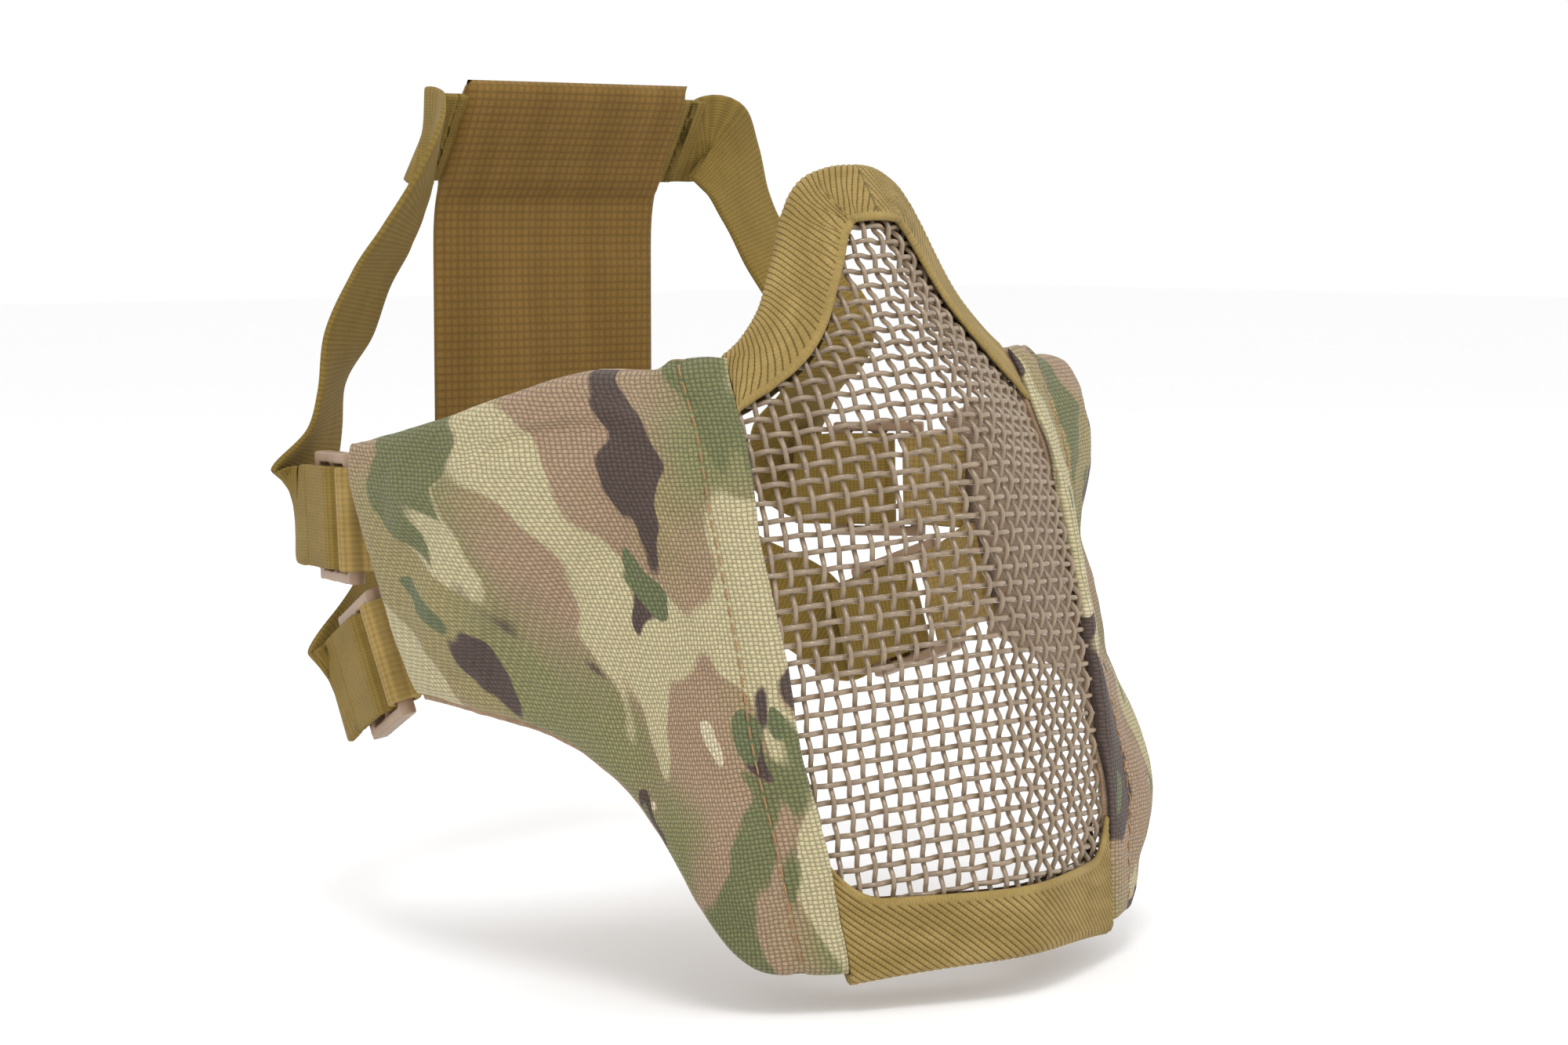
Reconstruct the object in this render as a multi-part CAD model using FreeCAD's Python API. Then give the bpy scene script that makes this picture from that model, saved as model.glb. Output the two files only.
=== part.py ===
import FreeCAD, Part
import math
import os

# Half-face mask: a formed wire-mesh shield, two padded fabric wings, and an elastic harness
# with a back panel. Millimetres. +Z up, the shield faces -Y, the wearer's left is +X.
# Origin: on the symmetry plane, between the side seams at half their height.

Vec = FreeCAD.Vector

# ---- shield: smooth curves through (height, value) stations -------------------------------
SEAM_HALF_WIDTH = [(-54, 31.8), (-37, 34.0), (-17, 36.0), (0, 37.0), (18, 37.0), (40, 35.3), (51, 33.0)]
RIDGE_DEPTH = [(-54, -26.5), (-37, -24.7), (-17, -20.8), (0, -18.3), (18, -16.0), (31, -13.0),
               (46, -6.0), (61, 5.3), (77, 14.7), (85, 21.0)]
FLANK_SLOPE = [(-54, 0.47), (-37, 0.49), (-17, 0.46), (0, 0.49), (18, 0.60), (40, 0.72),
               (51, 0.79), (60, 0.84), (85, 0.88)]
RIDGE_ROUNDING = 10.0
# half of the nose arch, seen from the front, from a seam's top to the middle
NOSE_ARCH = [(33.0, 50.4), (27.8, 53.4), (22.4, 58.4), (17.8, 66.5), (14.0, 74.5), (10.2, 79.5),
             (5.2, 81.8), (0.0, 82.3)]
CHIN_Z = -54.0
CHIN_RISE = 2.3
SEAM_TOP_Z = 51.0

MESH_THICK = 1.2
TAPE_THICK = 0.9
TAPE_GAP = 0.6
FOLD_ROOM = 0.6
SEAM_CUT_SHARE = 0.13
NOSE_BAND = 10.5
CHIN_TOP_Z = -37.5
HEM = 9.8
HEM_START = 0.8
MESH_TUCK = 7.6
TUCK_TAPER = 11.0

# ---- wings: each level is a Bezier plan curve from the seam to the rear point --------------
REAR_POINT = (76.0, 80.0)
REAR_HEADING = 82.0
CHEEK_HEADING = [(-54, 20), (-42, 13), (-30, 10), (-15, 28), (0, 40), (14, 42), (28, 25), (40, 12), (51, 8)]
CHEEK_REACH = [(-54, 26), (-30, 32), (0, 22), (14, 20), (40, 26), (51, 24)]
REAR_REACH = [(-54, 60), (0, 55), (51, 48)]
# outline of a wing: (share of the plan curve, height), and (height, share) for its rear edge
WING_TOP = [(0.0, 51.0), (0.15, 48.3), (0.23, 47.5), (0.36, 47.8), (0.48, 46.2), (0.60, 43.4),
            (0.78, 38.8), (0.93, 34.2)]
WING_BOTTOM = [(0.0, -53.8), (0.14, -54.0), (0.20, -52.3), (0.24, -49.0), (0.27, -43.2), (0.30, -35.8),
               (0.34, -28.7), (0.39, -22.5), (0.48, -17.0), (0.58, -13.3), (0.69, -11.5), (0.86, -8.5)]
WING_REAR = [(0.0, 0.82), (0.15, 0.855), (0.4, 0.885), (0.8, 0.93), (1.0, 0.93)]
HINGE_GAP = 2.0
COVER_THICK = 0.8
LAYER_GAP = 0.3
PAD_EDGE = 1.0
PAD_CROWN = 3.4
PAD_INSIDE = 2.6

# ---- harness -------------------------------------------------------------------------------
STRAP_WIDTH = 19.0
STRAP_THICK = 1.2
BUCKLE_LENGTH = 24.0
BUCKLE_RAIL = 2.0
BUCKLE_THICK = 3.0
BAR_PITCH = 9.0
BAR_R = 1.5
CENTRE_BAR = 2.2
TAB_BORE_R = 1.9
TAB_WALL = 1.2
TAB_LENGTH = 19.0
BUCKLE_TURN = 28.0
BUCKLE_LEVELS = {"upper": 20.5, "lower": -0.5}
BUCKLE_PITCH = {"upper": 18.0, "lower": 8.0}
TAIL_LENGTH = {"upper": 8.0, "lower": 4.0}

PANEL_WIDTH = 55.0
PANEL_Y = 111.0
PANEL_BOTTOM = 2.0
PANEL_BEND_Z = 79.0
PANEL_LEAN = 30.0
PANEL_FABRIC = 0.9
TUNNEL_HEIGHT = 21.0
TUNNEL_ROOM = 0.25
SEAM_ALLOWANCE = 2.5
CORE_HALF = 29.5
SPAN_STEPS = 4
JOIN_GAP = 1.5
RUN_LEAD = 6.0
TUNNEL_LEAD = 3.0
TURN_R = 2.0
LEG_LENGTH = 11.5
LIP_REACH = 2.0
LIP_RISE = 0.6
LIP_HALF = 8.0
BAR_INSET = 5.0
BAR_SETBACK = 7.0
TAB_TURN = -5.0
HINGE_SPAN = 45.0

# Heights of the mesh's cross rows, closer together where its sides turn.
MESH_LEVELS = [-50.3, -45, -37, -27, -17, -8, 0, 9, 18, 27, 35, 41,
               45.5, 48.5, 52, 55, 59, 64, 69, 74, 77.5, 79.5]

# Middle line of each strap run from its buckle to its tunnel, on the +X side, and the direction
# of the webbing's width there.
RUNS = {
    "left_upper": [((62.0, 107.5, 23.0), (0.5, -0.3, 0.8)), ((57.5, 101.0, 32.0), (0.7, -0.5, 0.5)),
                   ((57.0, 91.0, 42.0), (0.6, -0.45, 0.6)), ((56.5, 87.5, 52.0), (0.7, -0.3, 0.5)),
                   ((53.0, 93.0, 61.0), (0.8, 0.0, 0.4)), ((49.5, 100.0, 69.0), (0.85, 0.3, 0.3)),
                   ((46.5, 103.0, 77.0), (0.9, 0.3, 0.3)), ((43.0, 103.5, 85.0), (0.8, 0.1, 0.5)),
                   ((38.0, 103.0, 90.5), (0.3, -0.3, 0.9))],
    "right_upper": [((62.0, 107.5, 23.0), (0.5, -0.3, 0.8)), ((58.0, 105.0, 33.0), (0.7, -0.6, 0.3)),
                    ((57.0, 102.5, 43.0), (0.7, -0.7, 0.1)), ((55.0, 99.5, 53.0), (0.85, -0.5, 0.1)),
                    ((52.0, 96.5, 63.0), (0.8, -0.6, 0.2)), ((49.0, 92.5, 71.0), (0.65, -0.65, 0.3)),
                    ((45.0, 90.5, 79.0), (0.5, -0.7, 0.45)), ((40.0, 92.5, 86.0), (0.3, -0.65, 0.7)),
                    ((35.5, 98.5, 90.0), (0.15, -0.5, 0.85))],
    "left_lower": [((56.0, 97.0, -7.0), (0.0, 0.2, 1.0)), ((46.0, 104.0, -1.0), (0.1, 0.1, 1.0)),
                   ((37.0, 109.0, 7.0), (0.1, 0.0, 1.0))],
    "right_lower": [((56.0, 97.0, -7.0), (0.0, 0.2, 1.0)), ((46.0, 104.0, -1.0), (0.1, 0.1, 1.0)),
                    ((37.0, 109.0, 7.0), (0.1, 0.0, 1.0))],
}


# ---- helpers -------------------------------------------------------------------------------
def smooth(stations, at):
    """Value at a place on the smooth curve through (place, value) stations."""
    last = len(stations) - 1
    i = 0
    while i < last - 1 and at > stations[i + 1][0]:
        i += 1

    def slope(k):
        low = stations[max(k - 1, 0)]
        high = stations[min(k + 1, last)]
        return (high[1] - low[1]) / (high[0] - low[0])

    (x0, v0), (x1, v1) = stations[i], stations[i + 1]
    step = x1 - x0
    t = (at - x0) / step
    if t < 0:
        return v0 + slope(i) * step * t
    if t > 1:
        return v1 + slope(i + 1) * step * (t - 1)
    a = (1 + 2 * t) * (1 - t) ** 2 * v0
    b = t * (1 - t) ** 2 * slope(i) * step
    c = t * t * (3 - 2 * t) * v1
    d = t * t * (t - 1) * slope(i + 1) * step
    return a + b + c + d


def mix(a, b, t):
    return a + (b - a) * t


def unit(v):
    return v * (1.0 / v.Length)


def spread(count, start=0.0, stop=1.0):
    return [mix(start, stop, i / (count - 1)) for i in range(count)]


def mirrored(shape):
    return shape.mirror(Vec(0, 0, 0), Vec(1, 0, 0))


def save(name, shape):
    shape.exportStep("parts/" + name + ".step")
    print(name, "solids", len(shape.Solids), "valid", shape.isValid(), "mm3", round(shape.Volume, 1))


def closed_solid(faces):
    shell = Part.makeShell(faces)
    shell.sewShape()
    solid = Part.makeSolid(Part.makeShell(shell.Faces))
    if solid.Volume < 0:
        solid.reverse()
    return solid


def slab(low, high):
    """Solid between two grids of points with the same rows and columns."""
    skins = []
    for grid in (low, high):
        surface = Part.BSplineSurface()
        surface.interpolate(grid)
        skins.append(surface.toShape())
    sides = [Part.makeRuledSurface(a, b) for a, b in zip(skins[0].Edges, skins[1].Edges)]
    return closed_solid(skins + sides)


def loft(sections):
    wires = [Part.makePolygon(section + section[:1]) for section in sections]
    return Part.makeLoft(wires, True, False)


# ---- the shield's surface --------------------------------------------------------------------
def shield_depth(x, z):
    return smooth(RIDGE_DEPTH, z) + smooth(FLANK_SLOPE, z) * (math.hypot(x, RIDGE_ROUNDING) - RIDGE_ROUNDING)


def shield_point(x, z):
    return Vec(x, shield_depth(x, z), z)


def shield_normal(x, z):
    """Unit normal that points out of the face side, towards -Y."""
    h = 0.5
    slope_x = (shield_depth(x + h, z) - shield_depth(x - h, z)) / (2 * h)
    slope_z = (shield_depth(x, z + h) - shield_depth(x, z - h)) / (2 * h)
    return unit(Vec(slope_x, -1, slope_z))


def chin_edge(x):
    return CHIN_Z + CHIN_RISE * (1 - (x / SEAM_HALF_WIDTH[0][1]) ** 2)


def arch_curve():
    points = [Vec(-x, 0, z) for x, z in NOSE_ARCH] + [Vec(x, 0, z) for x, z in NOSE_ARCH[-2::-1]]
    curve = Part.BSplineCurve()
    curve.interpolate(points)
    return curve


# ---- the wings' surface (wearer's left side, +X) ---------------------------------------------
def plan_point(share, z):
    x0 = smooth(SEAM_HALF_WIDTH, z)
    start = (x0, shield_depth(x0, z))
    heading = math.radians(smooth(CHEEK_HEADING, z))
    reach = smooth(CHEEK_REACH, z)
    rear = math.radians(REAR_HEADING)
    back = smooth(REAR_REACH, z)
    poles = [start,
             (start[0] + reach * math.cos(heading), start[1] + reach * math.sin(heading)),
             (REAR_POINT[0] - back * math.cos(rear), REAR_POINT[1] - back * math.sin(rear)),
             REAR_POINT]
    s, r = share, 1 - share
    weights = [r ** 3, 3 * s * r * r, 3 * s * s * r, s ** 3]
    x = sum(w * p[0] for w, p in zip(weights, poles))
    y = sum(w * p[1] for w, p in zip(weights, poles))
    return Vec(x, y, z)


def wing_normal(share, z):
    """Unit normal out of the wearer's side."""
    h = 0.01
    along = plan_point(share + h, z) - plan_point(share - h, z)
    up = plan_point(share, z + 1) - plan_point(share, z - 1)
    return unit(along.cross(up))


def share_at(distance, z):
    """Share of the plan curve that lies this far from the seam."""
    step = 0.004
    share = 0.0
    travelled = 0.0
    while travelled < distance:
        travelled += (plan_point(share + step, z) - plan_point(share, z)).Length
        share += step
    return share


def wing_place(u, v, first=HEM + HINGE_GAP):
    """Share and height at u along the wing, hinge to rear, and v up it."""
    rear = smooth(WING_REAR, v)
    front = share_at(first, mix(CHIN_Z, SEAM_TOP_Z, v))
    share = mix(front, rear, u)
    return share, mix(smooth(WING_BOTTOM, share), smooth(WING_TOP, share), v)


def pillow(u, v):
    """0 along the wing's edges, 1 over most of its middle."""
    return (1 - (2 * v - 1) ** 4) * (1 - (2 * u - 1) ** 6)


def wing_grid(offset, columns=25, rows=11):
    grid = []
    for u in spread(columns):
        column = []
        for v in spread(rows):
            share, z = wing_place(u, v)
            column.append(plan_point(share, z) + wing_normal(share, z) * offset(u, v))
        grid.append(column)
    return grid


# ---- shield parts ------------------------------------------------------------------------------
def mesh_half_row(z):
    """Points from the ridge out to the mesh's own edge at one level."""
    if z > SEAM_TOP_Z:
        reach = arch_half_width(z) - 1.6
        return [shield_point(reach * t, z) for t in spread(13)]
    seam = smooth(SEAM_HALF_WIDTH, z)
    tuck = share_at(MESH_TUCK * min(1.0, 0.1 + (SEAM_TOP_Z - z) / TUCK_TAPER), z)
    front = [shield_point(seam * t, z) for t in spread(9)]
    return front + [plan_point(tuck * t, z) for t in (0.2, 0.45, 0.7, 1.0)]


def arch_half_width(z):
    heights = [(zz, x) for x, zz in NOSE_ARCH[:-1]]
    return smooth(heights, z)


def row_normals(row):
    normals = []
    for i, point in enumerate(row):
        along = row[min(i + 1, len(row) - 1)] - row[max(i - 1, 0)]
        normals.append(unit(Vec(along.y, -along.x, 0)))
    return normals


def mesh_rows(heights):
    front, back = [], []
    for z in heights:
        half = mesh_half_row(z)
        row = [Vec(-p.x, p.y, p.z) for p in half[:0:-1]] + half
        offsets = [n * (MESH_THICK / 2) for n in row_normals(row)]
        front.append([p + o for p, o in zip(row, offsets)])
        back.append([p - o for p, o in zip(row, offsets)])
    return front, back


def make_mesh():
    front, back = mesh_rows(MESH_LEVELS)
    return slab(front, back)


def tape_section(edge, inward, normal, width, mesh_half, surface_gap):
    """Closed U of folded tape round a mesh edge: 4 places across, open towards the inside."""
    inner = mesh_half + surface_gap
    outer = inner + TAPE_THICK
    across = [width, width / 2, FOLD_ROOM, -TAPE_THICK]

    def at(a, c):
        place = edge + inward * a
        rise = shield_depth(place.x, place.z) - place.y
        ahead = shield_depth(place.x + normal.x, place.z + normal.z)
        tilt = normal.y - (ahead - shield_depth(place.x, place.z))
        return place + normal * (rise / tilt + c)

    front = [at(a, outer) for a in across]
    back = [at(a, -outer) for a in across[::-1]]
    slot_back = [at(a, -inner) for a in across[:3]]
    slot_front = [at(a, inner) for a in across[2::-1]]
    return front + back + slot_back + slot_front


def make_nose_binding():
    """Elastic tape folded over the nose arch; its ends are cut along the seams."""
    curve = arch_curve()
    sections = []
    for u in spread(25):
        at = curve.value(mix(curve.FirstParameter, curve.LastParameter, u))
        ahead = curve.tangent(mix(curve.FirstParameter, curve.LastParameter, u))[0]
        point = shield_point(at.x, at.z)
        normal = shield_normal(at.x, at.z)
        step = shield_point(at.x + ahead.x, at.z + ahead.z) - shield_point(at.x - ahead.x, at.z - ahead.z)
        square = unit(step.cross(normal))
        side = -1 if at.x < 0 else 1
        seam = shield_point(side * smooth(SEAM_HALF_WIDTH, 41), 41) - shield_point(side * 33, SEAM_TOP_Z)
        turn = min(1.0, min(u, 1 - u) / SEAM_CUT_SHARE)
        inward = unit(seam) * (1 - turn) + square * turn
        inward = unit(inward - normal * inward.dot(normal))
        sections.append(tape_section(point, inward, normal, NOSE_BAND, MESH_THICK / 2, TAPE_GAP))
    return loft(sections)


def make_chin_binding():
    sections = []
    for u in spread(15, -1, 1):
        low_x = u * (SEAM_HALF_WIDTH[0][1] - 0.3)
        low = shield_point(low_x, chin_edge(low_x))
        high = shield_point(u * (smooth(SEAM_HALF_WIDTH, CHIN_TOP_Z) - 0.3), CHIN_TOP_Z)
        normal = shield_normal(low.x, low.z)
        inward = unit(high - low)
        inward = unit(inward - normal * inward.dot(normal))
        width = (high - low).Length
        sections.append(tape_section(low, inward, normal, width, MESH_THICK / 2, TAPE_GAP))
    return loft(sections)


def make_hem():
    """Front edge of a wing's outer fabric, folded round the mesh and stitched through it."""
    inner = MESH_THICK / 2 + TAPE_GAP
    outer = inner + COVER_THICK
    sections = []
    for z in spread(13, CHIN_Z + 0.5, SEAM_TOP_Z - 0.5):
        shares = [share_at(d, z) for d in (HEM_START, HEM / 2, MESH_TUCK + FOLD_ROOM, HEM)]

        def at(k, c):
            share = shares[k]
            along = plan_point(share + 0.01, z) - plan_point(max(share - 0.01, 0), z)
            return plan_point(share, z) + unit(Vec(along.y, -along.x, 0)) * c

        front = [at(k, outer) for k in (0, 1, 2, 3)]
        back = [at(k, -outer) for k in (3, 2, 1, 0)]
        slot = [at(k, -inner) for k in (0, 1, 2)] + [at(k, inner) for k in (2, 1, 0)]
        sections.append(front + back + slot)
    return loft(sections)


# ---- wing parts ----------------------------------------------------------------------------------
def foam_out(u, v):
    return PAD_EDGE + (PAD_CROWN - PAD_EDGE) * pillow(u, v)


def foam_in(u, v):
    return -PAD_EDGE - (PAD_INSIDE - PAD_EDGE) * pillow(u, v)


def make_wing():
    """Cover, foam and lining, each a layer between two offsets of the wing's surface."""
    clear = LAYER_GAP + COVER_THICK
    layers = {
        "cover": (lambda u, v: foam_out(u, v) + LAYER_GAP, lambda u, v: foam_out(u, v) + clear),
        "foam": (foam_in, foam_out),
        "lining": (lambda u, v: foam_in(u, v) - clear, lambda u, v: foam_in(u, v) - LAYER_GAP),
    }
    return {name: slab(wing_grid(low), wing_grid(high)) for name, (low, high) in layers.items()}


# ---- buckles, tabs and strap ends ------------------------------------------------------------------
def buckle_frame(level):
    """Middle of the front bar, and the unit directions along the bar, to the rear and outward."""
    z = BUCKLE_LEVELS[level]
    v = (z - smooth(WING_BOTTOM, 0.86)) / (smooth(WING_TOP, 0.9) - smooth(WING_BOTTOM, 0.86))
    share = smooth(WING_REAR, v)
    edge = plan_point(share, z)
    top_share = smooth(WING_REAR, v + 0.2)
    bottom_share = smooth(WING_REAR, v - 0.2)
    bar = unit(plan_point(top_share, z + 8) - plan_point(bottom_share, z - 8))
    tangent = plan_point(share + 0.01, z) - plan_point(share - 0.01, z)
    tangent = unit(tangent - bar * tangent.dot(bar))
    outward = tangent.cross(bar)
    pitch = FreeCAD.Rotation(outward, BUCKLE_PITCH[level])
    bar = pitch.multVec(bar)
    tangent = pitch.multVec(tangent)
    middle = edge - outward * BAR_INSET + tangent * BAR_SETBACK
    turn = FreeCAD.Rotation(bar, BUCKLE_TURN)
    return middle, bar, turn.multVec(tangent), turn.multVec(outward), tangent


def placed(shape, middle, bar, rear, outward):
    """Moves a shape drawn with x to the rear, y outward and z along the bar."""
    matrix = FreeCAD.Matrix(rear.x, outward.x, bar.x, middle.x,
                            rear.y, outward.y, bar.y, middle.y,
                            rear.z, outward.z, bar.z, middle.z, 0, 0, 0, 1)
    return shape.transformed(matrix, True)


def block(x0, x1, y0, y1, half_length):
    return Part.makeBox(x1 - x0, y1 - y0, 2 * half_length, Vec(x0, y0, -half_length))


def rod(x, radius, half_length):
    return Part.makeCylinder(radius, 2 * half_length, Vec(x, 0, -half_length), Vec(0, 0, 1))


def make_buckle():
    """Three-bar slider: round front bar, flat centre bar, rear bar with a raised pull lip."""
    half = BUCKLE_LENGTH / 2
    inside = half - BUCKLE_RAIL
    end = 2 * BAR_PITCH + BAR_R
    body = rod(0, BAR_R, half)
    for side in (-1, 1):
        low = min(side * inside, side * half)
        rail = Part.makeBox(end, BUCKLE_THICK, BUCKLE_RAIL, Vec(0, -BUCKLE_THICK / 2, low))
        body = body.fuse(rail)
    core = CENTRE_BAR / 2
    centre = block(BAR_PITCH - core, BAR_PITCH + core, -core, core, half)
    rear = block(end - 3.0, end, -BUCKLE_THICK / 2, BUCKLE_THICK / 2, half)
    profile = [Vec(end - 1.5, 0, 0), Vec(end, 0, 0), Vec(end + LIP_REACH, LIP_RISE, 0),
               Vec(end + LIP_REACH - 1.2, LIP_RISE + 0.6, 0), Vec(end - 1.5, BUCKLE_THICK / 2, 0)]
    lip = Part.Face(Part.makePolygon(profile + profile[:1])).extrude(Vec(0, 0, 2 * LIP_HALF))
    lip.translate(Vec(0, 0, -LIP_HALF))
    return body.fuse([centre, rear, lip]).removeSplitter()


def make_tab():
    """Webbing folded round the front bar, both legs sewn to the wing's lining."""
    half = STRAP_WIDTH / 2
    loop = rod(0, TAB_BORE_R + TAB_WALL, half)
    legs = block(-TAB_LENGTH, 0, -TAB_WALL, TAB_WALL, half)
    return loop.fuse(legs).cut(rod(0, TAB_BORE_R, half + 1)).removeSplitter()


def make_strap_end(level):
    """The webbing's turn round the centre bar: the working leg outside, the cut tail inside."""
    half = STRAP_WIDTH / 2
    inner = TURN_R
    outer = TURN_R + STRAP_THICK
    turn = rod(BAR_PITCH, outer, half)
    legs = block(BAR_PITCH, BAR_PITCH + LEG_LENGTH, inner, outer, half)
    tail = block(BAR_PITCH, BAR_PITCH + LEG_LENGTH + TAIL_LENGTH[level], -outer, -inner, half)
    solid = turn.cut(rod(BAR_PITCH, inner, half + 1))
    solid = solid.cut(block(BAR_PITCH, BAR_PITCH + 2 * outer, -2 * outer, 2 * outer, half + 1))
    return solid.fuse([legs, tail]).removeSplitter()


def through(points):
    """Places along a smooth curve through the points, straight at both ends."""
    guide = [points[0] * 2 - points[1]] + points + [points[-1] * 2 - points[-2]]
    places = []
    for before, here, ahead, beyond in zip(guide, guide[1:], guide[2:], guide[3:]):
        for k in range(SPAN_STEPS):
            t = k / SPAN_STEPS
            bend = before * 2 - here * 5 + ahead * 4 - beyond
            twist = here * 3 - before - ahead * 3 + beyond
            places.append((here * 2 + (ahead - before) * t + bend * t ** 2 + twist * t ** 3) * 0.5)
    return places + [points[-1]]


def ribbon(points, edges):
    """Flat webbing through points, its width along the edge direction at each."""
    middle = through(points)
    rims = through([p + e * (STRAP_WIDTH / 2) for p, e in zip(points, edges)])
    guide = [points[0] * 2 - points[1]] + middle + [points[-1] * 2 - points[-2]]
    sections = []
    for point, rim, before, after in zip(middle, rims, guide, guide[2:]):
        ahead = unit(after - before)
        edge = rim - point
        edge = unit(edge - ahead * ahead.dot(edge))
        across = edge * (STRAP_WIDTH / 2)
        thick = ahead.cross(edge) * (STRAP_THICK / 2)
        sections.append([point - across - thick, point + across - thick, point + across + thick,
                         point - across + thick])
    return Part.makeLoft([Part.makePolygon(s + s[:1]) for s in sections], True, True)


def make_run(name, level):
    middle, bar, rear, outward, _ = buckle_frame(level)
    leg_end = BAR_PITCH + LEG_LENGTH + JOIN_GAP
    start = middle + rear * leg_end + outward * (TURN_R + STRAP_THICK / 2)
    exit_point, exit_edge = tunnel_exit(level)
    first = start + rear * RUN_LEAD
    last = exit_point + Vec(TUNNEL_LEAD, 0, 0)
    points = [start, first] + [Vec(*p) for p, _ in RUNS[name]] + [last, exit_point]
    turns = [unit(Vec(*e)) for _, e in RUNS[name]]
    exit_edge = exit_edge if exit_edge.dot(turns[-1]) > 0 else exit_edge * -1
    edges = [bar, bar] + turns + [exit_edge, exit_edge]
    return ribbon(points, edges)


# ---- back panel ------------------------------------------------------------------------------------
def panel_line():
    """Middle line of the panel from bottom to top in the YZ plane, and its unit normal to the rear."""
    lean = math.radians(PANEL_LEAN)
    top = TUNNEL_HEIGHT + 2 * SEAM_ALLOWANCE
    bottom = Vec(0, PANEL_Y, PANEL_BOTTOM)
    bend = Vec(0, PANEL_Y, PANEL_BEND_Z)
    crest = bend + Vec(0, -math.sin(lean), math.cos(lean)) * top
    return bottom, bend, crest


def tunnel_exit(level):
    """Place where a strap leaves its tunnel on the +X side, and the webbing's width direction."""
    bottom, bend, crest = panel_line()
    if level == "lower":
        middle = bottom + Vec(0, 0, SEAM_ALLOWANCE + TUNNEL_HEIGHT / 2)
        edge = Vec(0, 0, 1)
    else:
        edge = unit(crest - bend)
        middle = bend + edge * (SEAM_ALLOWANCE + TUNNEL_HEIGHT / 2)
    return middle + Vec(CORE_HALF + JOIN_GAP, 0, 0), edge


def panel_layer(side):
    """One fabric of the panel; it bows away from the other over both strap tunnels."""
    bottom, bend, crest = panel_line()
    room = STRAP_THICK / 2 + TUNNEL_ROOM
    up = unit(crest - bend)
    tilt = Vec(0, up.z, -up.y)
    rear = Vec(0, 1, 0)
    stations = []
    for base, along, normal in ((bottom, Vec(0, 0, 1), rear), (bend, up, tilt)):
        for distance, bulge in ((0.0, 0.0), (SEAM_ALLOWANCE - 1, 0.0), (SEAM_ALLOWANCE, room),
                                (SEAM_ALLOWANCE + TUNNEL_HEIGHT, room),
                                (SEAM_ALLOWANCE + TUNNEL_HEIGHT + 1, 0.0)):
            stations.append((base + along * distance, normal, bulge))
    stations.append((crest, tilt, 0.0))
    near = [p + n * side * (b + LAYER_GAP / 2) for p, n, b in stations]
    far = [p + n * side * (b + LAYER_GAP / 2 + PANEL_FABRIC) for p, n, b in stations]
    outline = near + far[::-1]
    layer = Part.Face(Part.makePolygon(outline + outline[:1])).extrude(Vec(PANEL_WIDTH, 0, 0))
    layer.translate(Vec(-PANEL_WIDTH / 2, 0, 0))
    return layer


def make_core(level):
    """The strap's stretch inside a tunnel."""
    exit_point, edge = tunnel_exit(level)
    normal = Vec(1, 0, 0).cross(edge)
    corner = exit_point - Vec(JOIN_GAP, 0, 0) - edge * (STRAP_WIDTH / 2) - normal * (STRAP_THICK / 2)
    outline = [corner, corner + edge * STRAP_WIDTH, corner + edge * STRAP_WIDTH + normal * STRAP_THICK,
               corner + normal * STRAP_THICK]
    return Part.Face(Part.makePolygon(outline + outline[:1])).extrude(Vec(-2 * CORE_HALF, 0, 0))


def hinge_line():
    """Two points on a wing's fold, just behind the hem."""
    return [plan_point(share_at(HEM + HINGE_GAP / 2, z), z) for z in (-HINGE_SPAN, HINGE_SPAN)]


def save_pair(name, shape):
    save("left_" + name, shape)
    save("right_" + name, mirrored(shape))


def main():
    os.makedirs("parts", exist_ok=True)
    save("mesh_shield", make_mesh())
    save("nose_binding", make_nose_binding())
    save("chin_binding", make_chin_binding())
    save_pair("front_hem", make_hem())
    for layer, solid in make_wing().items():
        save_pair("wing_" + layer, solid)
    for level in BUCKLE_LEVELS:
        middle, bar, rear, outward, tangent = buckle_frame(level)
        print(level, "front bar", middle, "along", bar)
        save_pair(level + "_buckle", placed(make_buckle(), middle, bar, rear, outward))
        save_pair(level + "_strap_end", placed(make_strap_end(level), middle, bar, rear, outward))
        leg_turn = FreeCAD.Rotation(bar, TAB_TURN)
        save_pair(level + "_tab", placed(make_tab(), middle, bar, leg_turn.multVec(tangent),
                                         leg_turn.multVec(tangent.cross(bar))))
        save("left_" + level + "_strap", make_run("left_" + level, level))
        save("right_" + level + "_strap", mirrored(make_run("right_" + level, level)))
        save(level + "_strap_core", make_core(level))
    save("back_panel_front", panel_layer(-1))
    save("back_panel_rear", panel_layer(1))
    print("hinge", *hinge_line())
    for level in BUCKLE_LEVELS:
        print(level, "leg end", buckle_frame(level)[0] + buckle_frame(level)[2] * (BAR_PITCH + LEG_LENGTH))


main()
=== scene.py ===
import math

import bpy
import numpy as np
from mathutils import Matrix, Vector, noise
from mathutils.bvhtree import BVHTree


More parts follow.
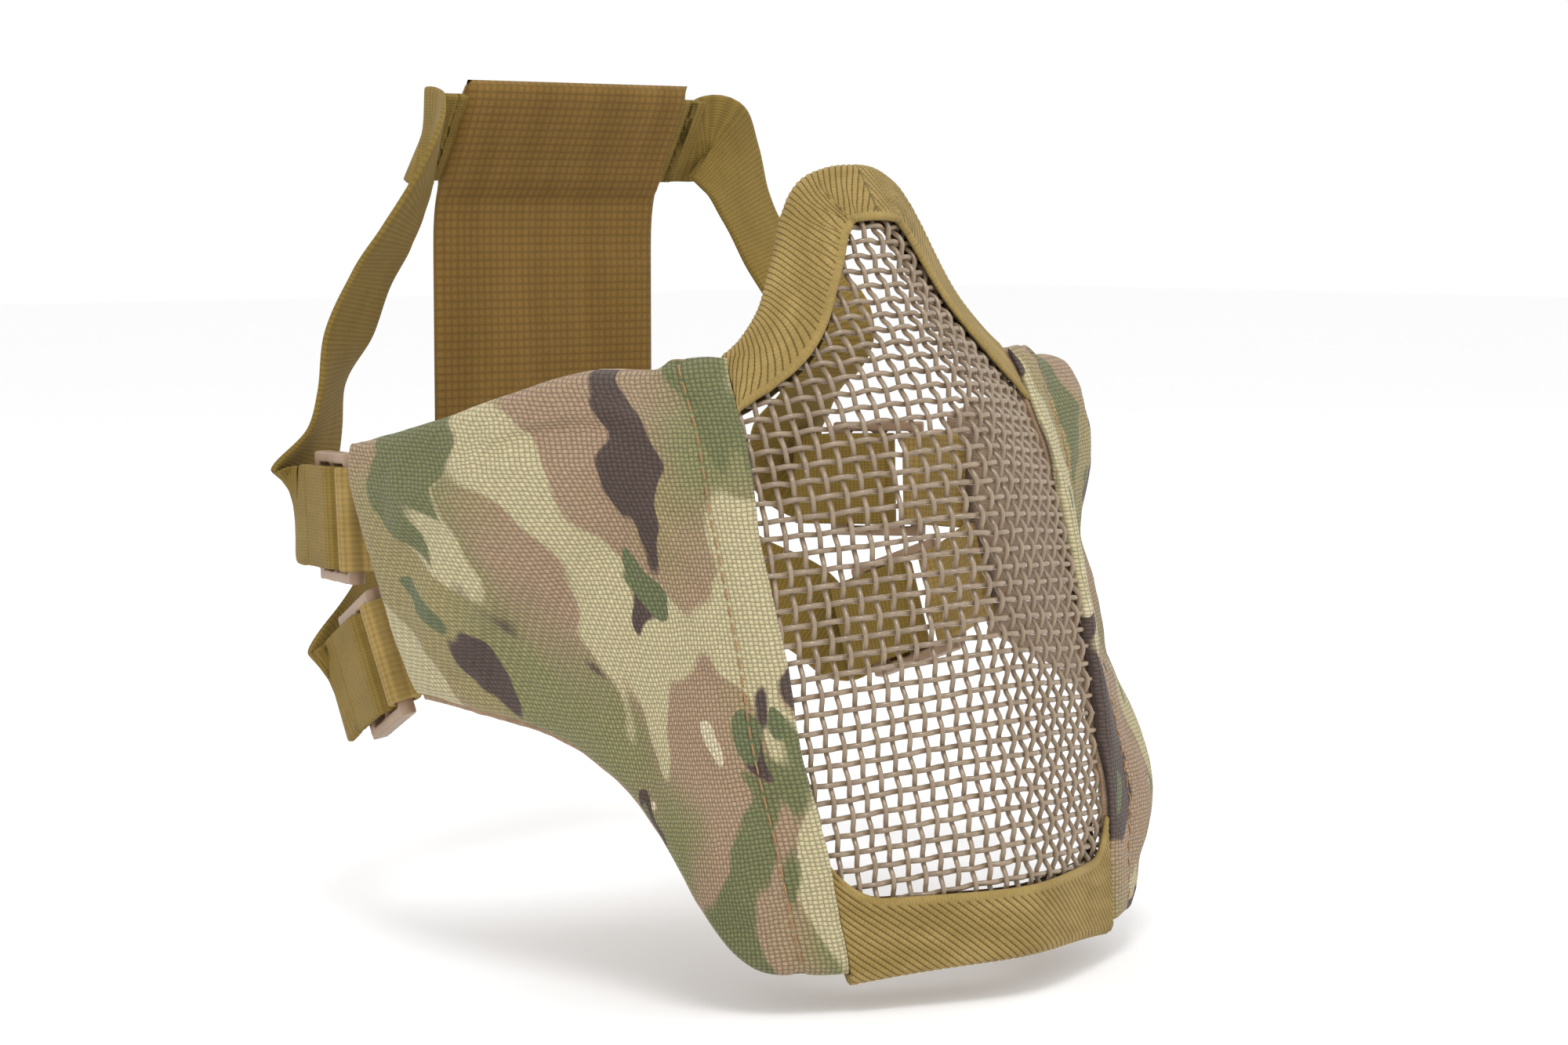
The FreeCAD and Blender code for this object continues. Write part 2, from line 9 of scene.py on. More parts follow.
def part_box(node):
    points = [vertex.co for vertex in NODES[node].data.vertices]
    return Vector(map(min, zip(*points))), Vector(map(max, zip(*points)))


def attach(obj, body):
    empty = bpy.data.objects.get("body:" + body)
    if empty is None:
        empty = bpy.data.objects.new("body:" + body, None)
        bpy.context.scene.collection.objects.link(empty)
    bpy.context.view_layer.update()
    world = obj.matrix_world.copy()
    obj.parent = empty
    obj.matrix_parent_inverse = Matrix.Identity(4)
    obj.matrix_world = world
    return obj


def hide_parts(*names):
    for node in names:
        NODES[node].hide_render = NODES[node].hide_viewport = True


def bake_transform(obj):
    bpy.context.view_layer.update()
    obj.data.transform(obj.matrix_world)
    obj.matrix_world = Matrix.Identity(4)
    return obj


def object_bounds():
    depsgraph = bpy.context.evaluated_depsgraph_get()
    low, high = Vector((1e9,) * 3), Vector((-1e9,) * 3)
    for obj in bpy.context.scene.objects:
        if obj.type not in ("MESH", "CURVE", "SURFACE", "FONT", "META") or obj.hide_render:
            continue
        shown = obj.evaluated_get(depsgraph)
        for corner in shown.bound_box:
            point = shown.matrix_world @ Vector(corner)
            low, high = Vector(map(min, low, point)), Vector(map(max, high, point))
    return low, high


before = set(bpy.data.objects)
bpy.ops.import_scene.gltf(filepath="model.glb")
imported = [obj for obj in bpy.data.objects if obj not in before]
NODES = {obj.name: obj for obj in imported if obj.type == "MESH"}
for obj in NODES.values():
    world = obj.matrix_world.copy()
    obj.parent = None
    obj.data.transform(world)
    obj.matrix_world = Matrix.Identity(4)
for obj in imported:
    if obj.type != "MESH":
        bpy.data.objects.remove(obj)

CAD_LOW, CAD_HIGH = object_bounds()
MM = 0.001

# Stations in millimetres for the wearer's left side (+X). They repeat the CAD source's, but the nose
# arch's first two are moved to meet the wing's front edge
NOSE_ARCH = [(33.3, 48.9), (28.0, 52.6), (22.4, 58.4), (17.8, 66.5), (14.0, 74.5), (10.2, 79.5),
             (5.2, 81.8), (0.0, 82.3)]
SEAM = [(-54, 31.8), (-37, 34.0), (-17, 36.0), (0, 37.0), (18, 37.0), (40, 35.3), (51, 33.0)]
CHIN_Z, CHIN_RISE, CHIN_TOP = -54.0, 2.3, -37.5
RUNS = {
    "left_upper": [((62.0, 107.5, 23.0), (0.5, -0.3, 0.8)), ((57.5, 101.0, 32.0), (0.7, -0.5, 0.5)),
                   ((57.0, 91.0, 42.0), (0.6, -0.45, 0.6)), ((56.5, 87.5, 52.0), (0.7, -0.3, 0.5)),
                   ((53.0, 93.0, 61.0), (0.8, 0.0, 0.4)), ((49.5, 100.0, 69.0), (0.85, 0.3, 0.3)),
                   ((46.5, 103.0, 77.0), (0.9, 0.3, 0.3)), ((43.0, 103.5, 85.0), (0.8, 0.1, 0.5)),
                   ((38.0, 103.0, 90.5), (0.3, -0.3, 0.9))],
    "right_upper": [((62.0, 107.5, 23.0), (0.5, -0.3, 0.8)), ((58.0, 105.0, 33.0), (0.7, -0.6, 0.3)),
                    ((57.0, 102.5, 43.0), (0.7, -0.7, 0.1)), ((55.0, 99.5, 53.0), (0.85, -0.5, 0.1)),
                    ((52.0, 96.5, 63.0), (0.8, -0.6, 0.2)), ((49.0, 92.5, 71.0), (0.65, -0.65, 0.3)),
                    ((45.0, 90.5, 79.0), (0.5, -0.7, 0.45)), ((40.0, 92.5, 86.0), (0.3, -0.65, 0.7)),
                    ((35.5, 98.5, 90.0), (0.15, -0.5, 0.85))],
    "lower": [((56.0, 97.0, -7.0), (0.0, 0.2, 1.0)), ((46.0, 104.0, -1.0), (0.1, 0.1, 1.0)),
              ((37.0, 109.0, 7.0), (0.1, 0.0, 1.0))],
}


# ---- small helpers -----------------------------------------------------------------------------
def smooth_between(stations, at):
    xs = [s[0] for s in stations]
    ys = [s[1] for s in stations]
    slopes = np.gradient(ys, xs)
    k = int(np.clip(np.searchsorted(xs, at) - 1, 0, len(xs) - 2))
    h = xs[k + 1] - xs[k]
    t = (at - xs[k]) / h
    return ((2 * t ** 3 - 3 * t ** 2 + 1) * ys[k] + (t ** 3 - 2 * t ** 2 + t) * h * slopes[k]
            + (3 * t ** 2 - 2 * t ** 3) * ys[k + 1] + (t ** 3 - t ** 2) * h * slopes[k + 1])


def unit(v):
    v = np.asarray(v, float)
    return v / np.maximum(np.linalg.norm(v, axis=-1, keepdims=True), 1e-12)


def through(points, steps):
    """Places along a smooth curve through the points, straight at both ends."""
    points = [np.asarray(p, float) for p in points]
    guide = [points[0] * 2 - points[1]] + points + [points[-1] * 2 - points[-2]]
    places = []
    for before, here, ahead, beyond in zip(guide, guide[1:], guide[2:], guide[3:]):
        for k in range(steps):
            t = k / steps
            bend = before * 2 - here * 5 + ahead * 4 - beyond
            twist = here * 3 - before - ahead * 3 + beyond
            places.append((here * 2 + (ahead - before) * t + bend * t ** 2 + twist * t ** 3) * 0.5)
    return np.array(places + [points[-1]])


def respaced(points, step):
    """The same line with its places evenly spread."""
    gaps = np.linalg.norm(np.diff(points, axis=0), axis=1)
    along = np.concatenate([[0], np.cumsum(gaps)])
    count = max(2, int(round(along[-1] / step)) + 1)
    at = np.linspace(0, along[-1], count)
    return np.stack([np.interp(at, along, points[:, k]) for k in range(3)], axis=1), at


def corner_vertices(mesh):
    loops = np.zeros(len(mesh.loops), dtype=np.int32)
    mesh.loops.foreach_get("vertex_index", loops)
    return loops


def places_of(mesh):
    place = np.zeros(len(mesh.vertices) * 3)
    mesh.vertices.foreach_get("co", place)
    return place.reshape(-1, 3)


def set_places(mesh, place):
    mesh.vertices.foreach_set("co", place.astype(np.float32).ravel())
    mesh.update()


def add_uv(mesh, uv):
    layer = mesh.uv_layers.new(name="UVMap")
    layer.data.foreach_set("uv", np.asarray(uv, np.float32)[corner_vertices(mesh)].ravel())


def shade_smooth(mesh, smooth=True):
    mesh.polygons.foreach_set("use_smooth", [smooth] * len(mesh.polygons))


def make_piece(name, points, faces, uv=None, smooth=True):
    """Mesh object in metres from numpy points (N, 3) and faces; uv is one pair per point."""
    mesh = bpy.data.meshes.new(name)
    mesh.from_pydata([tuple(p) for p in points], [], [tuple(int(i) for i in f) for f in faces])
    mesh.update()
    if uv is not None:
        add_uv(mesh, uv)
    shade_smooth(mesh, smooth)
    obj = bpy.data.objects.new(name, mesh)
    bpy.context.scene.collection.objects.link(obj)
    return obj


def grid_faces(rows, columns, first=0, close_columns=False):
    faces = []
    last = columns if close_columns else columns - 1
    for i in range(rows - 1):
        for j in range(last):
            k = (j + 1) % columns
            faces.append((first + i * columns + j, first + i * columns + k,
                          first + (i + 1) * columns + k, first + (i + 1) * columns + j))
    return faces


def end_caps(rows, columns):
    return [tuple(range(columns))[::-1], tuple((rows - 1) * columns + k for k in range(columns))]


def tree_of(*names):
    points, faces = [], []
    for name in names:
        mesh = NODES[name].data
        base = len(points)
        points += [v.co.copy() for v in mesh.vertices]
        faces += [[base + i for i in p.vertices] for p in mesh.polygons]
    return BVHTree.FromPolygons(points, faces)


def edges_of(*names):
    """Both ends of every edge of these nodes, as two (N, 3) arrays in metres."""
    starts, ends = [], []
    for name in names:
        mesh = NODES[name].data
        co = places_of(mesh)
        pairs = np.zeros(len(mesh.edges) * 2, dtype=np.int32)
        mesh.edges.foreach_get("vertices", pairs)
        pairs = pairs.reshape(-1, 2)
        starts.append(co[pairs[:, 0]])
        ends.append(co[pairs[:, 1]])
    return np.concatenate(starts), np.concatenate(ends)


def crossings(edges, point, normal):
    """Where a plane cuts the edges."""
    a, b = edges
    da = (a - point) @ np.asarray(normal)
    db = (b - point) @ np.asarray(normal)
    cut = (da * db) < 0
    t = (da[cut] / (da[cut] - db[cut]))[:, None]
    return a[cut] * (1 - t) + b[cut] * t


# ---- materials ----------------------------------------------------------------------------------
class Nodes:
    """A material's node tree with short calls for the nodes used here."""

    def __init__(self, name):
        self.material = bpy.data.materials.new(name)
        self.material.use_nodes = True
        self.tree = self.material.node_tree
        self.shader = self.tree.nodes["Principled BSDF"]

    def new(self, kind, **settings):
        node = self.tree.nodes.new(kind)
        for key, value in settings.items():
            setattr(node, key, value)
        return node

    def link(self, a, b):
        self.tree.links.new(a, b)

    def put(self, socket, value):
        if hasattr(value, "is_output"):
            self.link(value, socket)
        else:
            socket.default_value = value

    def math(self, operation, a, b=0.0, c=0.0):
        node = self.new("ShaderNodeMath", operation=operation)
        for socket, value in zip(node.inputs, (a, b, c)):
            self.put(socket, value)
        return node.outputs[0]

    def uv(self):
        node = self.new("ShaderNodeUVMap", uv_map="UVMap")
        split = self.new("ShaderNodeSeparateXYZ")
        self.link(node.outputs[0], split.inputs[0])
        return node.outputs[0], split.outputs[0], split.outputs[1]

    def combine(self, x, y, z=0.0):
        node = self.new("ShaderNodeCombineXYZ")
        for socket, value in zip(node.inputs, (x, y, z)):
            self.put(socket, value)
        return node.outputs[0]

    def noise(self, vector, scale, detail=2.0, roughness=0.5):
        node = self.new("ShaderNodeTexNoise")
        node.inputs["Scale"].default_value = scale
        node.inputs["Detail"].default_value = detail
        node.inputs["Roughness"].default_value = roughness
        self.link(vector, node.inputs["Vector"])
        return node.outputs["Fac"]

    def cloth_noise(self, u, v, rate_u, rate_v, detail=2.0, roughness=0.5):
        at = self.combine(self.math("MULTIPLY", u, rate_u), self.math("MULTIPLY", v, rate_v))
        return self.noise(at, 1.0, detail, roughness)

    def ridges(self, turn):
        """The size of a sine, one ridge for each half turn."""
        return self.math("ABSOLUTE", self.math("SINE", turn))

    def place(self):
        return self.new("ShaderNodeTexCoord").outputs["Object"]

    def darkened(self, colour, shade):
        return self.mix(1.0, colour, self.combine(shade, shade, shade), "MULTIPLY")

    def band(self, value, low, high):
        """0 below low, 1 above high, smooth between."""
        node = self.new("ShaderNodeMapRange", interpolation_type="SMOOTHSTEP")
        self.put(node.inputs["Value"], value)
        node.inputs["From Min"].default_value = low
        node.inputs["From Max"].default_value = high
        return node.outputs[0]

    def mix(self, factor, a, b, mode="MIX"):
        node = self.new("ShaderNodeMix", data_type="RGBA", blend_type=mode)
        self.put(node.inputs[0], factor)
        for socket, value in ((node.inputs[6], a), (node.inputs[7], b)):
            if isinstance(value, tuple):
                value = (*value, 1.0)
            self.put(socket, value)
        return node.outputs[2]

    def bump(self, height, strength, distance, after=None):
        node = self.new("ShaderNodeBump")
        node.inputs["Strength"].default_value = strength
        node.inputs["Distance"].default_value = distance
        self.link(height, node.inputs["Height"])
        if after is not None:
            self.link(after, node.inputs["Normal"])
        return node.outputs[0]

    def finish(self, colour, roughness, normal=None, sheen=0.0, sheen_tint=(1, 1, 1), specular=0.5,
               metallic=0.0, coat=0.0):
        if isinstance(colour, tuple):
            colour = (*colour, 1.0)
        self.put(self.shader.inputs["Base Color"], colour)
        self.put(self.shader.inputs["Roughness"], roughness)
        if normal is not None:
            self.link(normal, self.shader.inputs["Normal"])
        self.shader.inputs["Sheen Weight"].default_value = sheen
        self.shader.inputs["Sheen Tint"].default_value = (*sheen_tint, 1.0)
        self.shader.inputs["Specular IOR Level"].default_value = specular
        self.shader.inputs["Metallic"].default_value = metallic
        self.shader.inputs["Coat Weight"].default_value = coat
        return self.material


def plain_weave(n, u, v, pitch_u, pitch_v):
    """Height of a plain weave, and a share that is 0 in the gaps between threads, used for painted shade
    there; u and v are in metres.
    """
    su = n.math("SINE", n.math("MULTIPLY", u, math.pi / pitch_u))
    sv = n.math("SINE", n.math("MULTIPLY", v, math.pi / pitch_v))
    checker = n.math("MULTIPLY", su, sv)
    au = n.math("ABSOLUTE", su)
    av = n.math("ABSOLUTE", sv)
    gaps = n.math("MULTIPLY", n.math("POWER", au, 0.5), n.math("POWER", av, 0.5))
    height = n.math("MULTIPLY_ADD", checker, 0.35, n.math("MULTIPLY", gaps, 0.65))
    return height, gaps


# Camouflage layers from the ground up: blob rates along u and v, place, detail, turn, edge and colour
CAMO_LAYERS = [
    (26, 20, 1.7, 1.0, 0.0, 0.42, 0.58, (0.330, 0.225, 0.140)),
    (30, 16, 9.3, 1.0, 0.4, 0.50, 0.62, (0.215, 0.205, 0.088)),
    (44, 24, 5.1, 1.0, 0.5, 0.575, 0.60, (0.470, 0.408, 0.235)),
    (52, 17, 13.4, 2.0, 0.5, 0.575, 0.595, (0.150, 0.155, 0.064)),
    (46, 25, 21.9, 2.0, 0.35, 0.610, 0.625, (0.080, 0.053, 0.043)),
    (95, 60, 33.1, 1.0, -0.3, 0.690, 0.70, (0.130, 0.145, 0.066)),
    (120, 80, 41.7, 1.0, 0.6, 0.735, 0.745, (0.560, 0.480, 0.320)),
]


def camo_material():
    n = Nodes("camo_cloth")
    uv, u, v = n.uv()
    warp = n.new("ShaderNodeTexNoise", noise_dimensions="3D")
    warp.inputs["Scale"].default_value = 45
    n.link(uv, warp.inputs["Vector"])
    shift = n.new("ShaderNodeVectorMath", operation="SUBTRACT")
    n.link(warp.outputs["Color"], shift.inputs[0])
    shift.inputs[1].default_value = (0.5, 0.5, 0.5)
    grown = n.new("ShaderNodeVectorMath", operation="SCALE")
    n.link(shift.outputs[0], grown.inputs[0])
    grown.inputs["Scale"].default_value = 0.018
    bent = n.new("ShaderNodeVectorMath", operation="ADD")
    n.link(uv, bent.inputs[0])
    n.link(grown.outputs[0], bent.inputs[1])

    def field(scale_u, scale_v, offset, detail, turn):
        mapping = n.new("ShaderNodeMapping")
        n.link(bent.outputs[0], mapping.inputs["Vector"])
        mapping.inputs["Location"].default_value = (offset, offset * 0.7, offset * 1.3)
        mapping.inputs["Rotation"].default_value = (0, 0, turn)
        mapping.inputs["Scale"].default_value = (scale_u, scale_v, 1)
        return n.noise(mapping.outputs[0], 1.0, detail, 0.45)

    base = (0.300, 0.245, 0.105)
    for scale_u, scale_v, offset, detail, turn, low, high, colour in CAMO_LAYERS:
        base = n.mix(n.band(field(scale_u, scale_v, offset, detail, turn), low, high), base, colour)
    wander = n.cloth_noise(u, v, 160.0, 160.0, 2.0)
    drift = n.math("MULTIPLY_ADD", wander, 0.0009, -0.00045)
    height, gaps = plain_weave(n, n.math("ADD", u, drift), n.math("SUBTRACT", v, drift), 0.00094, 0.00074)
    thread = n.cloth_noise(u, v, 900.0, 900.0, 3.0, 0.7)
    # Painted shade: the gaps between threads are darker, times random thread tone on the next line.
    shade = n.math("MULTIPLY_ADD", gaps, 0.70, 0.48)
    shade = n.math("MULTIPLY", shade, n.math("MULTIPLY_ADD", thread, 0.6, 0.74))
    colour = n.darkened(base, shade)
    bump = n.bump(height, 0.9, 0.00034)
    return n.finish(colour, 0.78, bump, sheen=0.12, specular=0.3)


def lining_material():
    n = Nodes("lining_cloth")
    _, u, v = n.uv()
    height, gaps = plain_weave(n, u, v, 0.0007, 0.0007)
    fuzz = n.cloth_noise(u, v, 420.0, 420.0, 4.0, 0.7)
    blotch = n.cloth_noise(u, v, 45.0, 45.0, 2.0)
    factor = n.math("MULTIPLY_ADD", fuzz, 0.7, n.math("MULTIPLY", blotch, 0.3))
    base = n.mix(n.band(factor, 0.3, 0.75), (0.270, 0.170, 0.095), (0.400, 0.270, 0.165))
    # Painted shade in the gaps between threads.
    shade = n.math("MULTIPLY_ADD", gaps, 0.3, 0.75)
    colour = n.darkened(base, shade)
    rough = n.math("ADD", height, fuzz)
    return n.finish(colour, 0.95, n.bump(rough, 0.6, 0.0002), sheen=0.3, specular=0.2)


def webbing_material(name, light, dark, rib=0.0009, line=0.0006):
    """Elastic webbing: u runs along it and v across, in metres."""
    n = Nodes(name)
    _, u, v = n.uv()
    across = n.math("SINE", n.math("MULTIPLY", u, 2 * math.pi / rib))
    wales = n.math("SINE", n.math("MULTIPLY", v, 2 * math.pi / line))
    height = n.math("MULTIPLY_ADD", across, 0.35, n.math("MULTIPLY", wales, 0.22))
    fuzz = n.cloth_noise(u, v, 700.0, 900.0, 3.0, 0.7)
    tone = n.cloth_noise(u, v, 60.0, 160.0, 2.0)
    base = n.mix(n.band(tone, 0.25, 0.8), dark, light)
    # Painted shade: the ribs' raised parts are lighter and their grooves darker, times random fuzz tone.
    shade = n.math("MULTIPLY_ADD", height, 0.34, n.math("MULTIPLY_ADD", fuzz, 0.35, 0.82))
    colour = n.darkened(base, shade)
    rough = n.math("ADD", height, n.math("MULTIPLY", fuzz, 0.4))
    return n.finish(colour, 0.82, n.bump(rough, 0.7, 0.00018), sheen=0.04, specular=0.22)


def panel_material():
    n = Nodes("panel_cloth")
    _, u, v = n.uv()
    rate = 2 * math.pi / 0.0016
    columns = n.math("POWER", n.ridges(n.math("MULTIPLY", u, rate / 2)), 0.6)
    rows = n.math("POWER", n.ridges(n.math("MULTIPLY", v, rate / 2)), 0.6)
    grid = n.math("MULTIPLY", columns, rows)
    moire = n.cloth_noise(u, v, 130.0, 14.0, 2.0)
    fuzz = n.cloth_noise(u, v, 800.0, 800.0, 3.0, 0.7)
    base = n.mix(n.band(moire, 0.3, 0.7), (0.190, 0.107, 0.023), (0.228, 0.130, 0.030))
    # Painted shade: the gaps between the cloth's ridges are darker, times random fuzz tone.
    shade = n.math("MULTIPLY_ADD", grid, 0.38, n.math("MULTIPLY_ADD", fuzz, 0.25, 0.62))
    colour = n.darkened(base, shade)
    return n.finish(colour, 0.76, n.bump(grid, 0.6, 0.00018), sheen=0.03, specular=0.22)


def tape_material():
    n = Nodes("binding_tape")
    _, u, v = n.uv()
    marks = n.new("ShaderNodeSeparateColor")
    n.link(n.new("ShaderNodeVertexColor", layer_name="relief").outputs[0], marks.inputs[0])
    edge, ribs, ropes = marks.outputs
    cord = n.math("POWER", n.ridges(n.math("MULTIPLY", ribs, math.pi)), 0.7)
    step = n.math("MULTIPLY", n.math("FLOOR", ribs), 0.45)
    turn = n.math("MULTIPLY", n.math("ADD", ropes, step), math.pi)
    bead = n.math("POWER", n.ridges(turn), 0.6)
    body = n.math("MULTIPLY", cord, n.math("MULTIPLY_ADD", bead, 0.5, 0.5))
    loops = n.ridges(n.math("MULTIPLY", u, math.pi / 0.00060))
    loops = n.math("MULTIPLY_ADD", n.math("POWER", loops, 0.6), 0.55, 0.40)
    away = n.math("SUBTRACT", 1.0, edge)
    height = n.math("ADD", n.math("MULTIPLY", body, away), n.math("MULTIPLY", loops, edge))
    fuzz = n.cloth_noise(u, v, 1100.0, 1100.0, 4.0, 0.7)
    tone = n.cloth_noise(u, v, 70.0, 200.0, 2.0)
    base = n.mix(n.band(tone, 0.3, 0.75), (0.270, 0.186, 0.056), (0.360, 0.255, 0.087))
    # Painted shade: the low places between the cords and beads go dark brown.
    groove_shaded = n.mix(n.band(height, 0.0, 0.62), (0.075, 0.045, 0.010), base)
    light = n.math("MULTIPLY_ADD", fuzz, 0.6, 0.72)
    colour = n.darkened(groove_shaded, light)
    rough = n.math("MULTIPLY_ADD", fuzz, 0.3, height)
    return n.finish(colour, 0.85, n.bump(rough, 0.8, 0.00022), sheen=0.06, specular=0.22)


def wire_material():
    n = Nodes("mesh_wire")
    place = n.place()
    tone = n.noise(place, 260.0, 3.0, 0.6)
    worn = n.noise(place, 1300.0, 2.0, 0.5)
    base = n.mix(n.band(tone, 0.3, 0.7), (0.240, 0.172, 0.108), (0.310, 0.230, 0.150))
    colour = n.mix(n.band(worn, 0.68, 0.78), base, (0.36, 0.30, 0.23))
    rough = n.math("MULTIPLY_ADD", worn, 0.2, 0.14)
    return n.finish(colour, rough, n.bump(tone, 0.2, 0.0002), specular=0.6, coat=0.25)


def plastic_material():
    n = Nodes("buckle_plastic")
    place = n.place()
    tone = n.noise(place, 90.0, 2.0, 0.5)
    grain = n.noise(place, 2600.0, 2.0, 0.6)
    colour = n.mix(n.band(tone, 0.3, 0.7), (0.300, 0.195, 0.118), (0.350, 0.232, 0.148))
    rough = n.math("MULTIPLY_ADD", grain, 0.15, 0.36)
    return n.finish(colour, rough, n.bump(grain, 0.15, 0.00006), specular=0.45)


def thread_material():
    n = Nodes("stitch_thread")
    place = n.place()
    twist = n.noise(place, 3000.0, 2.0)
    colour = n.mix(twist, (0.280, 0.130, 0.045), (0.430, 0.235, 0.095))
    return n.finish(colour, 0.6, n.bump(twist, 0.3, 0.0001), sheen=0.2)


CAMO = camo_material()
LINING = lining_material()
WEBBING = webbing_material("elastic_webbing", (0.236, 0.157, 0.035), (0.200, 0.132, 0.027))
TAB = webbing_material("tab_webbing", (0.345, 0.235, 0.075), (0.285, 0.190, 0.055), 0.0011, 0.0011)
PANEL = panel_material()
TAPE = tape_material()
WIRE = wire_material()
PLASTIC = plastic_material()
THREAD = thread_material()


def dress(obj, material):
    obj.data.materials.clear()
    obj.data.materials.append(material)
    return obj


# ---- camera, light and floor --------------------------------------------------------------------
def make_camera():
    data = bpy.data.cameras.new("camera")
    data.sensor_width = 36
    data.lens = 77.4
    camera = bpy.data.objects.new("camera", data)
    bpy.context.scene.collection.objects.link(camera)
    camera.location = (-0.41214, -0.43677, 0.07625)
    camera.rotation_mode = "QUATERNION"
    camera.rotation_quaternion = Vector((0.6533, 0.7515, -0.0924)).to_track_quat("-Z", "Y")
    bpy.context.scene.camera = camera


def make_light(name, place, target, size, power):
    data = bpy.data.lights.new(name, "AREA")
    data.shape = "DISK"
    data.size = size
    data.energy = power
    light = bpy.data.objects.new(name, data)
    bpy.context.scene.collection.objects.link(light)
    light.location = place
    light.rotation_mode = "QUATERNION"
    light.rotation_quaternion = (Vector(target) - Vector(place)).to_track_quat("-Z", "Y")


def make_studio():
    scene = bpy.context.scene
    scene.view_settings.view_transform = "Standard"
    world = bpy.data.worlds.new("studio")
    scene.world = world
    world.use_nodes = True
    world.node_tree.nodes["Background"].inputs[0].default_value = (1.0, 1.0, 1.0, 1.0)
    world.node_tree.nodes["Background"].inputs[1].default_value = 1.0
    middle = (0.0, 0.045, 0.015)
    make_light("key", (-0.40, -0.45, 0.95), middle, 0.40, 4.2)
    make_light("fill", (0.75, -0.75, 0.35), middle, 0.8, 1.0)
    make_light("back", (0.25, 0.95, 0.65), middle, 0.7, 1.2)
    half = 4.0
    low = CAD_LOW.z - 0.006
    corners = [(-half, -half, low), (half, -half, low), (half, half, low), (-half, half, low)]
    floor = make_piece("floor", corners, [(0, 1, 2, 3)], smooth=False)
    n = Nodes("floor")
    place = n.place()
    tone = n.noise(place, 3.0)
    n.finish(n.mix(tone, (0.965, 0.965, 0.965), (0.975, 0.975, 0.975)), 0.9)
    floor.data.materials.append(n.material)


# ---- the shield's middle surface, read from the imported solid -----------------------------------
class Shield:
    STEP = 0.001

    def __init__(self):
        tree = tree_of("mesh_shield")
        low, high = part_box("mesh_shield")
        self.xs = np.arange(0, high.x + self.STEP, self.STEP)
        self.zs = np.arange(low.z + 0.0003, high.z, self.STEP)
        depth = np.full((len(self.zs), len(self.xs)), np.nan)
        ahead, behind = Vector((0, 1, 0)), Vector((0, -1, 0))
        for i, z in enumerate(self.zs):
            for j, x in enumerate(self.xs):
                near = tree.ray_cast(Vector((x + 1e-5, -1, z)), ahead)[0]
                if near is None:
                    continue
                far = tree.ray_cast(Vector((x + 1e-5, 1, z)), behind)[0]
                depth[i, j] = (near.y + far.y) / 2
        self.reach = np.array([self.xs[np.flatnonzero(~np.isnan(row))[-1]] for row in depth])
        for row in depth:
            known = np.flatnonzero(~np.isnan(row))
            last = known[-1] - 1
            slope = (row[last] - row[last - 3]) / 3
            for j in range(last + 1, len(row)):
                row[j] = row[last] + slope * (j - last)
        self.field = depth
        arcs = np.hypot(np.diff(self.xs)[None, :], np.diff(depth, axis=1))
        self.arcs = np.concatenate([np.zeros((len(self.zs), 1)), np.cumsum(arcs, axis=1)], axis=1)
        ridge = np.hypot(np.diff(self.zs), np.diff(depth[:, 0]))
        self.ridge = np.concatenate([[0], np.cumsum(ridge)])

    def depth(self, x, z):
        x = np.abs(np.asarray(x, float))
        z = np.asarray(z, float)
        fx = np.clip(x / self.STEP, 0, len(self.xs) - 1.001)
        fz = (z - self.zs[0]) / self.STEP
        over = fz - np.clip(fz, 0, len(self.zs) - 1.001)
        fz = np.clip(fz, 0, len(self.zs) - 1.001)
        j, i = fx.astype(int), fz.astype(int)
        a, b = fx - j, fz - i
        f = self.field
        below = f[i, j] * (1 - a) + f[i, j + 1] * a
        above = f[i + 1, j] * (1 - a) + f[i + 1, j + 1] * a
        edge = np.where(over < 0, 0, len(self.zs) - 3)
        slope = f[edge + 2, j] - f[edge, j]
        return below * (1 - b) + above * b + over * slope / 2

    def normal(self, x, z):
        h = 0.0015
        dx = (self.depth(x + h, z) - self.depth(x - h, z)) / (2 * h)
        dz = (self.depth(x, z + h) - self.depth(x, z - h)) / (2 * h)
        return unit(np.stack([dx, -np.ones_like(dx), dz], axis=-1))

    def point(self, x, z):
        x, z = np.broadcast_arrays(np.asarray(x, float), np.asarray(z, float))
        return np.stack([x, self.depth(x, z), z], axis=-1)

    def x_at(self, arc, z):
        """x that lies this far from the ridge along the surface, at height z."""
        fz = float(np.clip((z - self.zs[0]) / self.STEP, 0, len(self.zs) - 1.001))
        i = int(fz)
        row = self.arcs[i] * (1 - fz + i) + self.arcs[i + 1] * (fz - i)
        return math.copysign(float(np.interp(abs(arc), row, self.xs)), arc)

    def limit(self, z):
        return float(np.interp(z, self.zs, self.reach))


# ---- woven wire ---------------------------------------------------------------------------------
WIRE_PITCH = 0.00304
WIRE_RADIUS = 0.00048
CRIMP = 0.00050
WIRE_SIDES = 8
STEPS_PER_PITCH = 6


def tube_rings(path, normals, radius, sides):
    ahead = unit(np.gradient(path, axis=0))
    side = unit(np.cross(ahead, normals))
    up = np.cross(side, ahead)
    turn = np.linspace(0, 2 * math.pi, sides, endpoint=False)
    return (path[:, None, :] + radius * (np.cos(turn)[None, :, None] * up[:, None, :]
                                         + np.sin(turn)[None, :, None] * side[:, None, :]))


